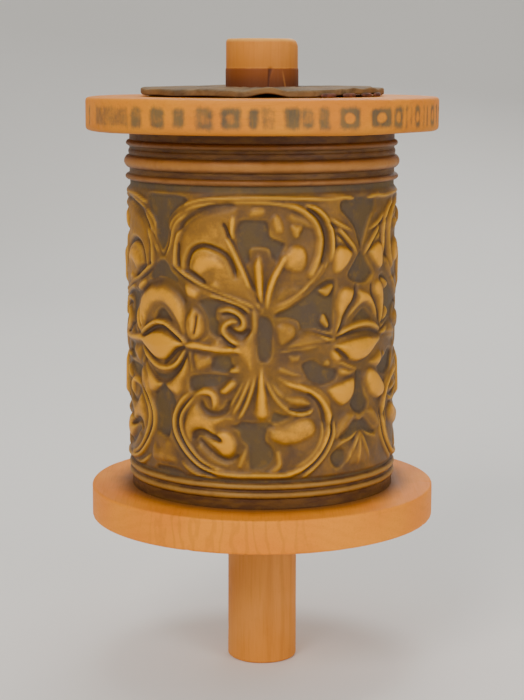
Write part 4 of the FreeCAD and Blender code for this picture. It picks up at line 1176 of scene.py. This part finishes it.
def draw_ornament():
    """Lay out one half of the drum: two mirrored medallions and the two flowers between them."""
    chart = Chart()
    for outline in FLOWER_A_GROUND + FLOWER_B_GROUND:
        chart.flatten(outline)
    for outline in MEDALLION_GROUND:
        chart.flatten(outline)
        chart.flatten(mirrored(outline))
    for height, gilt, outline in MEDALLION_LEAVES:
        chart.raise_leaf(height, gilt, outline)
        chart.raise_leaf(height, gilt, mirrored(outline))
    for height, gilt, outline in FLOWER_A_LEAVES + FLOWER_B_LEAVES:
        chart.raise_leaf(height, gilt, outline)
    for height, start, end, gilt, line in MEDALLION_RIDGES:
        chart.raise_ridge(height, start, end, gilt, line)
        chart.raise_ridge(height, start, end, gilt, mirrored(line))
    for height, start, end, gilt, line in FLOWER_A_RIDGES + FLOWER_B_RIDGES:
        chart.raise_ridge(height, start, end, gilt, line)
    for depth, half, line in MEDALLION_GROOVES:
        chart.carve(depth, half, line)
        chart.carve(depth, half, mirrored(line))
    for depth, half, line in FLOWER_A_GROOVES + FLOWER_B_GROOVES:
        chart.carve(depth, half, line)
    return chart


def sampled(grid, across, up):
    """Values of a chart grid at places on the drum, smooth between its points."""
    column = (across + CHART_PERIOD / 2) / ACROSS_STEP
    row = np.clip((up - SLEEVE_BASE) / UP_STEP, 0, len(grid) - 1.001)
    left, below = np.floor(column).astype(int), np.floor(row).astype(int)
    x, y = column - left, row - below
    near, far = left % CHART_COLUMNS, (left + 1) % CHART_COLUMNS
    return ((1 - y) * ((1 - x) * grid[below, near] + x * grid[below, far])
            + y * ((1 - x) * grid[below + 1, near] + x * grid[below + 1, far]))


def make_sleeve():
    """Embossed sleeve: the ornament carried round the drum, a little different at each repeat."""
    chart = draw_ornament()
    height = softened(chart.height, 0.5)
    # these blurred differences find the grooves, painted with shade, and the crests, painted with a
    # highlight
    hollow = softened(height, 1.5) - height
    fine_hollow = softened(height, 0.7) - height
    # gilding brighter the higher the relief stands: painted light on the tops of the forms, painted shade
    # low down
    lit_by_height = np.clip((height - 0.5) / 2.3, 0, 1)
    maps = {
        "gilt": softened(chart.gilt, 0.6) * (0.45 + 0.65 * lit_by_height),
        "ground": softened(chart.ground, 0.45) * np.clip(1.15 - hollow, 0, 1),
        "hollow": np.clip(hollow * 0.6, 0, 1) + np.clip(fine_hollow * 1.8, 0, 1),
        "crest_highlight": np.clip(-fine_hollow * 3.0 - 0.1, 0, 1),
    }
    rows = round((SLEEVE_TOP - SLEEVE_BASE) / SLEEVE_ROW) + 1
    level = np.linspace(SLEEVE_BASE, SLEEVE_TOP, rows)
    angle = np.arange(SLEEVE_COLUMNS) * FULL_TURN / SLEEVE_COLUMNS
    angle = angle - FRONT_FINENESS * np.sin(angle)
    turn, up = np.meshgrid(angle, level)
    behind = np.clip((np.abs(turn_apart(turn, 0)) - 75) / 30, 0, 1)
    drift = behind * (0.9 * np.sin(3 * turn + up / 31) + 0.5 * np.sin(7 * turn - up / 17))
    lift = behind * (0.6 * np.sin(5 * turn + 1.0) + 0.4 * np.sin(up / 23 + 2 * turn))
    across = turn / FULL_TURN * 2 * CHART_PERIOD + drift
    spread = {label: sampled(grid, across, up + lift) for label, grid in maps.items()}
    form = sampled(height, across, up + lift)
    form *= 1 + 0.06 * np.sin(4 * turn + up / 40) * behind
    border = np.clip(np.minimum(up - SLEEVE_BASE - 0.6, SLEEVE_TOP - 2.2 - up) / 1.6, 0, 1)
    form = form * border + 0.25 * (1 - border)
    spread["ground"] = np.maximum(spread["ground"], 0.75 * (1 - border))
    for label in ("gilt", "crest_highlight"):
        spread[label] = spread[label] * border
    # the sheet's overlapping edge, tacked down, lies plain over the ornament
    aside = np.radians(turn_apart(turn, math.degrees(SEAM_ANGLE))) * (SLEEVE_GROUND + SEAM_RISE)
    overlap = eased(np.clip((SEAM_HALF_WIDTH - np.abs(aside)) / 0.9, 0, 1))
    form = form * (1 - overlap) + SEAM_RISE * overlap
    spread["gilt"] = spread["gilt"] * (1 - overlap) + 0.45 * overlap
    for label in ("ground", "crest_highlight", "hollow"):
        spread[label] = spread[label] * (1 - overlap)
    # painted shadow: a thin dark line just beside the overlap's edge
    spread["hollow"] += 0.9 * hump(np.abs(aside), SEAM_HALF_WIDTH + 0.3, 1.0)
    radius = SLEEVE_GROUND + form
    outer = round_the_axle(radius, turn, up)
    inner = np.stack([round_the_axle(SLEEVE_BORE, angle, z) for z in (SLEEVE_BASE, SLEEVE_TOP)])
    points = np.concatenate([outer, inner[::-1]])
    faces = ring_faces(rows + 2, SLEEVE_COLUMNS, closed=True)
    blank = np.zeros((2, SLEEVE_COLUMNS))
    mesh = make_mesh("embossed_sleeve_gilt", points, faces,
                     {label: np.concatenate([numbers, blank]) for label, numbers in spread.items()})
    mesh.set_sharp_from_angle(angle=math.radians(70))
    place_piece("embossed_sleeve_gilt", mesh, "drum", "gilt_relief", "embossed_sleeve")


# ---------------------------------------------------------------------------
# Geometry Nodes: swept mouldings, and pieces that repeat
# ---------------------------------------------------------------------------
class Tree:
    """A node tree with named inputs; its first input and its output are geometry."""

    def __init__(self, name, inputs):
        self.tree = bpy.data.node_groups.new(name, "GeometryNodeTree")
        face = self.tree.interface
        face.new_socket("Shape", in_out="INPUT", socket_type="NodeSocketGeometry")
        self.identifiers = {label: face.new_socket(label, in_out="INPUT", socket_type=kind).identifier
                            for label, kind in inputs.items()}
        face.new_socket("Piece", in_out="OUTPUT", socket_type="NodeSocketGeometry")
        self.given = self.tree.nodes.new("NodeGroupInput").outputs

    def add(self, kind, inputs, **settings):
        node = self.tree.nodes.new(kind)
        for setting, choice in settings.items():
            setattr(node, setting, choice)
        for socket, source in inputs.items():
            if isinstance(source, bpy.types.NodeSocket):
                self.tree.links.new(source, node.inputs[socket])
            else:
                node.inputs[socket].default_value = source
        return node

    def reckon(self, operation, first, second=0.0, third=0.0):
        return self.add("ShaderNodeMath", {0: first, 1: second, 2: third}, operation=operation).outputs[0]

    def finish(self, geometry):
        """End in real geometry that carries the finish."""
        real = self.add("GeometryNodeRealizeInstances", {"Geometry": geometry}).outputs[0]
        coated = self.add("GeometryNodeSetMaterial", {"Geometry": real, "Material": self.given["Finish"]})
        self.add("NodeGroupOutput", {0: coated.outputs[0]})

    def run(self, name, mesh, slot, **inputs):
        """Run the tree on a mesh and return a plain mesh."""
        carrier = put_in_scene(name, mesh)
        modifier = carrier.modifiers.new(name, "NODES")
        modifier.node_group = self.tree
        for label, number in dict(inputs, Finish=FINISHES[slot]).items():
            modifier[self.identifiers[label]] = number
        depsgraph = bpy.context.evaluated_depsgraph_get()
        made = bpy.data.meshes.new_from_object(carrier.evaluated_get(depsgraph))
        made.name = name
        made.polygons.foreach_set("use_smooth", [True] * len(made.polygons))
        bpy.data.objects.remove(carrier)
        return made


def moulding_tree():
    """Sweep an outline round the axle, then let it wander a little as a hand-turned ring does."""
    tree = Tree("hand_turned_ring", {
        "Radius": "NodeSocketFloat", "Columns": "NodeSocketInt", "Wander": "NodeSocketFloat",
        "Seed": "NodeSocketFloat", "Finish": "NodeSocketMaterial"})
    given = tree.given
    outline = tree.add("GeometryNodeMeshToCurve", {"Mesh": given["Shape"]}).outputs[0]
    circle = tree.add("GeometryNodeCurvePrimitiveCircle", {
        "Resolution": given["Columns"], "Radius": given["Radius"]}).outputs[0]
    ring = tree.add("GeometryNodeCurveToMesh", {"Curve": circle, "Profile Curve": outline}).outputs[0]
    place = tree.add("GeometryNodeInputPosition", {}).outputs[0]
    flat = tree.add("ShaderNodeVectorMath", {0: place, 1: (1, 1, 0)}, operation="MULTIPLY").outputs[0]
    outward = tree.add("ShaderNodeVectorMath", {0: flat}, operation="NORMALIZE").outputs[0]
    reach = tree.add("ShaderNodeVectorMath", {0: flat}, operation="LENGTH").outputs["Value"]
    waves = tree.add("ShaderNodeTexNoise", {
        "Vector": place, "W": given["Seed"], "Scale": 24.0, "Detail": 1.0},
        noise_dimensions="4D").outputs[0]
    nicks = tree.add("ShaderNodeTexNoise", {
        "Vector": place, "W": given["Seed"], "Scale": 190.0, "Detail": 2.0},
        noise_dimensions="4D").outputs[0]
    nicks = tree.reckon("MAXIMUM", tree.reckon("SUBTRACT", nicks, 0.56), 0.0)
    nicks = tree.reckon("MULTIPLY", nicks, -3.0)
    shift = tree.reckon("ADD", tree.reckon("SUBTRACT", waves, 0.5), nicks)
    outside = tree.add("ShaderNodeMapRange", {
        "Value": reach, "From Min": (SLEEVE_BORE + 0.2) * MM,
        "From Max": (MOULDING_RADIUS + 0.6) * MM}).outputs[0]
    shift = tree.reckon("MULTIPLY", tree.reckon("MULTIPLY", shift, outside), given["Wander"])
    offset = tree.add("ShaderNodeVectorMath", {0: outward, 3: shift}, operation="SCALE").outputs[0]
    tree.finish(tree.add("GeometryNodeSetPosition", {"Geometry": ring, "Offset": offset}).outputs[0])
    return tree


def bead_outline(bottom, top, beads):
    """Outline of a moulding: close points up its beads, then back down its bore."""
    levels = np.arange(bottom, top + 0.13, 0.25).clip(bottom, top)
    radius = np.full(levels.shape, MOULDING_RADIUS)
    for centre, half, depth in beads:
        share = np.clip(1 - ((levels - centre) / half) ** 2, 0, 1)
        radius = np.maximum(radius, MOULDING_RADIUS + depth * share ** 0.6)
    return [(r, z) for r, z in zip(radius, levels)] + [(SLEEVE_BORE, top), (SLEEVE_BORE, bottom)]


def make_mouldings():
    """Turned rings under and over the sleeve, each with its beads (centre, half height, depth)."""
    tree = moulding_tree()
    lower, upper = base_of("lower_moulding"), top_of("upper_moulding")
    rings = {
        "lower_moulding": (lower, top_of("lower_moulding"), 1.0, [
            (lower + 6.5, 1.6, 1.2), (lower + 10.6, 1.5, 1.3)]),
        "upper_moulding": (base_of("upper_moulding"), upper, 2.0, [
            (upper - 21.2, 1.6, 1.9), (upper - 14.1, 3.1, 2.5), (upper - 9.6, 1.3, 0.5),
            (upper - 5.6, 1.5, 1.6)]),
    }
    for node, (bottom, top, seed, beads) in rings.items():
        outline = bead_outline(bottom, top, beads)[::-1]
        profile = bpy.data.meshes.new(node + "_outline")
        count = len(outline)
        corners = [((radius - MOULDING_RADIUS) * MM, -level * MM, 0) for radius, level in outline]
        profile.from_pydata(corners, [(k, (k + 1) % count) for k in range(count)], [])
        mesh = tree.run(node + "_turned", profile, "gilt_moulding", Radius=MOULDING_RADIUS * MM,
                        Columns=400, Wander=0.45 * MM, Seed=seed)
        place_piece(node + "_turned", mesh, "drum", "gilt_moulding", node)


def repeat_tree():
    """Repeat a shape round or along the axle, each copy a little astray."""
    tree = Tree("repeated_pieces", {
        "Count": "NodeSocketInt", "First": "NodeSocketFloat", "Turn": "NodeSocketFloat",
        "Rise": "NodeSocketFloat", "Stray": "NodeSocketFloat", "Seed": "NodeSocketInt",
        "Finish": "NodeSocketMaterial"})
    given = tree.given
    line = tree.add("GeometryNodeMeshLine", {"Count": given["Count"], "Offset": (0, 0, 0)}).outputs[0]
    copies = tree.add("GeometryNodeInstanceOnPoints", {
        "Points": line, "Instance": given["Shape"]}).outputs[0]
    index = tree.add("GeometryNodeInputIndex", {}).outputs[0]
    astray = tree.add("FunctionNodeRandomValue", {"Seed": given["Seed"], 2: -1.0, 3: 1.0},
                      data_type="FLOAT").outputs[1]
    turn = tree.reckon("MULTIPLY_ADD", index, given["Turn"], given["First"])
    turn = tree.reckon("MULTIPLY_ADD", astray, given["Stray"], turn)
    euler = tree.add("ShaderNodeCombineXYZ", {2: turn}).outputs[0]
    spun = tree.add("GeometryNodeRotateInstances", {
        "Instances": copies, "Rotation": tree.add("FunctionNodeEulerToRotation", {0: euler}).outputs[0],
        "Local Space": False}).outputs[0]
    rise = tree.reckon("MULTIPLY", index, given["Rise"])
    climb = tree.add("ShaderNodeCombineXYZ", {2: rise}).outputs[0]
    tree.finish(tree.add("GeometryNodeTranslateInstances", {
        "Instances": spun, "Translation": climb, "Local Space": False}).outputs[0])
    return tree


def upright_round(name, centre_radius, profile, columns=20):
    """Round solid on an upright axis at the front of the drum, from a profile of (radius, level)."""
    turn = np.arange(columns) * FULL_TURN / columns
    return solid_of_rings(name, [np.stack([
        radius * np.sin(turn), -centre_radius - radius * np.cos(turn), level + 0 * turn], -1)
        for radius, level in profile])


def make_pegs(tree):
    """Pegs that hold each disc to its plug, their ends a hair proud of the outer face."""
    for node, low, high in (("lower_disc_pegs", -0.12, 0.0), ("upper_disc_pegs", 0.0, 0.12)):
        bottom, top = base_of(node) + low, top_of(node) + high
        shape = upright_round(node + "_shape", PEG_CIRCLE, [
            (1.2, bottom), (1.95, bottom + 0.05), (2.25, bottom + 0.4), (2.25, top - 0.4),
            (1.95, top - 0.05), (1.2, top)])
        mesh = tree.run(node + "_cut", shape, "peg_wood", Count=4, First=0.0, Turn=FULL_TURN / 4,
                        Rise=0.0, Stray=0.0, Seed=1)
        place_piece(node + "_cut", mesh, "drum", "peg_wood", node)


def make_tacks(tree):
    """Domed tacks that hold the sleeve's overlap, from its lower end up."""
    seat = SLEEVE_GROUND + SEAM_RISE - 0.15
    first_level = base_of("seam_tacks") + TACK_HEAD_RADIUS
    columns = 18
    turn = np.arange(columns) * FULL_TURN / columns
    profile = [(0.7, -3.0), (0.7, -0.1), (TACK_HEAD_RADIUS, 0.0), (1.92, 0.28),
               (1.6, 0.6), (1.1, 0.86), (0.5, 1.0)]
    shape = solid_of_rings("seam_tack_shape", [np.stack([
        radius * np.cos(turn), -seat - out + 0 * turn, first_level + radius * np.sin(turn)], -1)
        for radius, out in profile])
    mesh = tree.run("seam_tacks_domed", shape, "tack_brass", Count=12, First=SEAM_ANGLE, Turn=0.0,
                    Rise=TACK_PITCH * MM, Stray=0.008, Seed=5)
    place_piece("seam_tacks_domed", mesh, "drum", "tack_brass", "seam_tacks")


def make_lacing(tree):
    """Short stitches of thong along the front right of the leather's edge."""
    first_end, length, pitch = math.radians(27), math.radians(8.5), math.radians(11.8)
    columns = 14
    around = np.arange(columns) * FULL_TURN / columns
    rings = []
    for share in np.linspace(-1, 1, 15):
        size = (1 - abs(share) ** 3.5) ** 0.5 * 0.97 + 0.03
        angle = share * length / 2
        bow = 0.12 * math.cos(share * 2.2)
        radius = COVER_REACH + 0.75 + bow + 0.8 * size * np.cos(around)
        level = COVER_BASE + 1.02 + 0.98 * size * np.sin(around)
        rings.append(round_the_axle(radius, np.full(columns, angle), level))
    shape = solid_of_rings("stitch_shape", rings)
    mesh = tree.run("cover_lacing_thong", shape, "lacing_leather", Count=4,
                    First=first_end + length / 2, Turn=pitch, Rise=0.0, Stray=0.01, Seed=8)
    place_piece("cover_lacing_thong", mesh, "drum", "lacing_leather", "cover_lacing")


# ---------------------------------------------------------------------------
# Leather cover
# ---------------------------------------------------------------------------
HIDE_THICKNESS = 3.0
# Where the hide's edge has curled up: bearing in degrees, half width in degrees, lift in mm.
EDGE_CURLS = [
    (-92, 34, 1.0), (-58, 18, 0.6), (-28, 22, 0.5), (2.5, 11, 1.7), (33, 10, 0.8), (47, 14, 1.2),
    (62, 12, 1.3), (82, 14, 0.7), (116, 24, 1.2), (158, 20, 0.8), (198, 26, 1.5), (238, 18, 0.7),
]


def make_leather_cover():
    """Round of stiff hide laid on the upper disc: its face has cockled and its edge has curled."""
    bottom = COVER_BASE + 0.1
    outline = worn_outline([
        (COVER_BORE, bottom, 0.5, 1.3), (COVER_REACH, bottom, 0.8, 0.4),
        (COVER_REACH, bottom + HIDE_THICKNESS, 0.8, 1.3),
        (COVER_BORE, bottom + HIDE_THICKNESS, 0.6, 0.4)], curve_points=5)
    hide = Turning(outline, 480)
    share = np.clip((hide.radius - COVER_BORE) / (COVER_REACH - COVER_BORE), 0, 1)
    curl = sum(lift * hump(turn_apart(hide.angle, bearing), 0, half) for bearing, half, lift in EDGE_CURLS)
    east, north = hide.radius * np.sin(hide.angle), -hide.radius * np.cos(hide.angle)
    cockle = (0.5 + 0.5 * np.sin(north / 4.6 + east / 17 + 0.8)) * np.exp(-((east + 14) / 34) ** 2)
    cockle += (0.5 + 0.5 * np.sin(north / 6.5 - east / 24)) * 0.8
    belly = 1.1 * np.clip(share * (1 - share) * 4, 0, 1) ** 0.7
    lift = curl[None, :] * share ** 5 + belly + 0.45 * cockle * np.sin(math.pi * share) ** 0.6
    hide.level += lift
    wave = 0.6 * hide.uneven(31, turns=16, rise=0.0)[0] + 0.15 * np.sin(23 * hide.angle)
    hide.radius += wave[None, :] * share ** 8
    thinner = np.abs(0.3 * hide.uneven(33, turns=24, rise=0.6))
    hide.level -= np.clip(hide.out_level, 0, 1) * thinner
    # marks the faces that look down, for the painted shade beneath the hide
    underside = np.clip(-hide.out_level * 1.5, 0, 1) * np.ones_like(hide.radius)
    mesh = hide.mesh("leather_cover_curled", {"underside": underside})
    piece = place_piece("leather_cover_curled", mesh, "drum", "cover_leather", "leather_cover")


# ---------------------------------------------------------------------------
# Pieces that keep their CAD shape
# ---------------------------------------------------------------------------
def coat_cad_nodes():
    """Give every CAD node the finish of its slot in the record."""
    for part in frame["record"]["subparts"]:
        materials = frame["nodes"][part["node"]].data.materials
        materials.clear()
        materials.append(FINISHES[part["material_slot"]])


# ---------------------------------------------------------------------------
# Studio
# ---------------------------------------------------------------------------
def make_floor():
    """Pale floor that sweeps up into a backdrop."""
    width, front, back, rise, bend = 9000, -12000, 2600, 4200, 1200
    line = [(front, 0.0), (back - bend, 0.0)]
    line += [(back - bend + bend * math.sin(turn), bend - bend * math.cos(turn))
             for turn in np.linspace(0, math.pi / 2, 24)[1:]]
    line.append((back, rise))
    points = [(side, y, z) for y, z in line for side in (-width, width)]
    faces = [(2 * k, 2 * k + 1, 2 * k + 3, 2 * k + 2) for k in range(len(line) - 1)]
    mesh = make_mesh("studio_floor", points, faces)
    finish = Finish("studio_floor", Roughness=0.9, Specular_IOR_Level=0.2)
    tone = finish.mixed(finish.clouds(400.0, 2.0), paint(234, 232, 228), paint(240, 238, 234))
    mesh.materials.append(finish.done(tone))
    floor = put_in_scene("studio_floor", mesh)


def make_light(name, place, aim, size, power, colour=(1, 1, 1)):
    """Round soft lamp of that size in metres, turned towards a point."""
    lamp = bpy.data.lights.new(name, "AREA")
    lamp.shape = "DISK"
    lamp.size = size
    lamp.energy = power
    lamp.color = colour
    stand = put_in_scene(name, lamp)
    stand.location = place
    way = np.array(aim) - np.array(place)
    stand.rotation_euler = (math.atan2(math.hypot(way[0], way[1]), -way[2]), 0,
                            math.atan2(way[1], way[0]) - math.pi / 2)


def make_studio():
    """Floor, four soft lamps turned to the drum's middle, and a pale air."""
    make_floor()
    middle = (0, 0, 0.16)
    make_light("key_light", (-0.7, -1.5, 1.25), middle, 0.9, 21.0, (1.0, 0.97, 0.93))
    make_light("fill_light", (1.3, -1.3, 0.6), middle, 1.2, 11.0)
    make_light("top_light", (0.1, 0.3, 1.6), middle, 0.9, 9.0)
    make_light("back_light", (0.4, 1.6, 1.1), middle, 1.2, 9.0)
    world = bpy.data.worlds.new("studio_air")
    world.use_nodes = True
    air = world.node_tree.nodes["Background"].inputs
    air["Color"].default_value = (0.95, 0.94, 0.92, 1)
    air["Strength"].default_value = 0.45
    bpy.context.scene.world = world


def make_camera():
    """Camera in front of the drum, a little above its middle and tipped down."""
    camera = bpy.data.cameras.new("front_camera")
    camera.sensor_width = 36.0
    camera.lens = 92.7
    stand = put_in_scene("front_camera", camera)
    stand.location = (0, -0.8582, 0.2886)
    stand.rotation_euler = (math.pi / 2 - 0.158, 0, 0)
    bpy.context.scene.camera = stand


coat_cad_nodes()
make_axle()
make_lower_disc()
make_upper_disc()
make_sleeve()
make_mouldings()
repeats = repeat_tree()
make_pegs(repeats)
make_tacks(repeats)
make_lacing(repeats)
make_leather_cover()
make_studio()
make_camera()
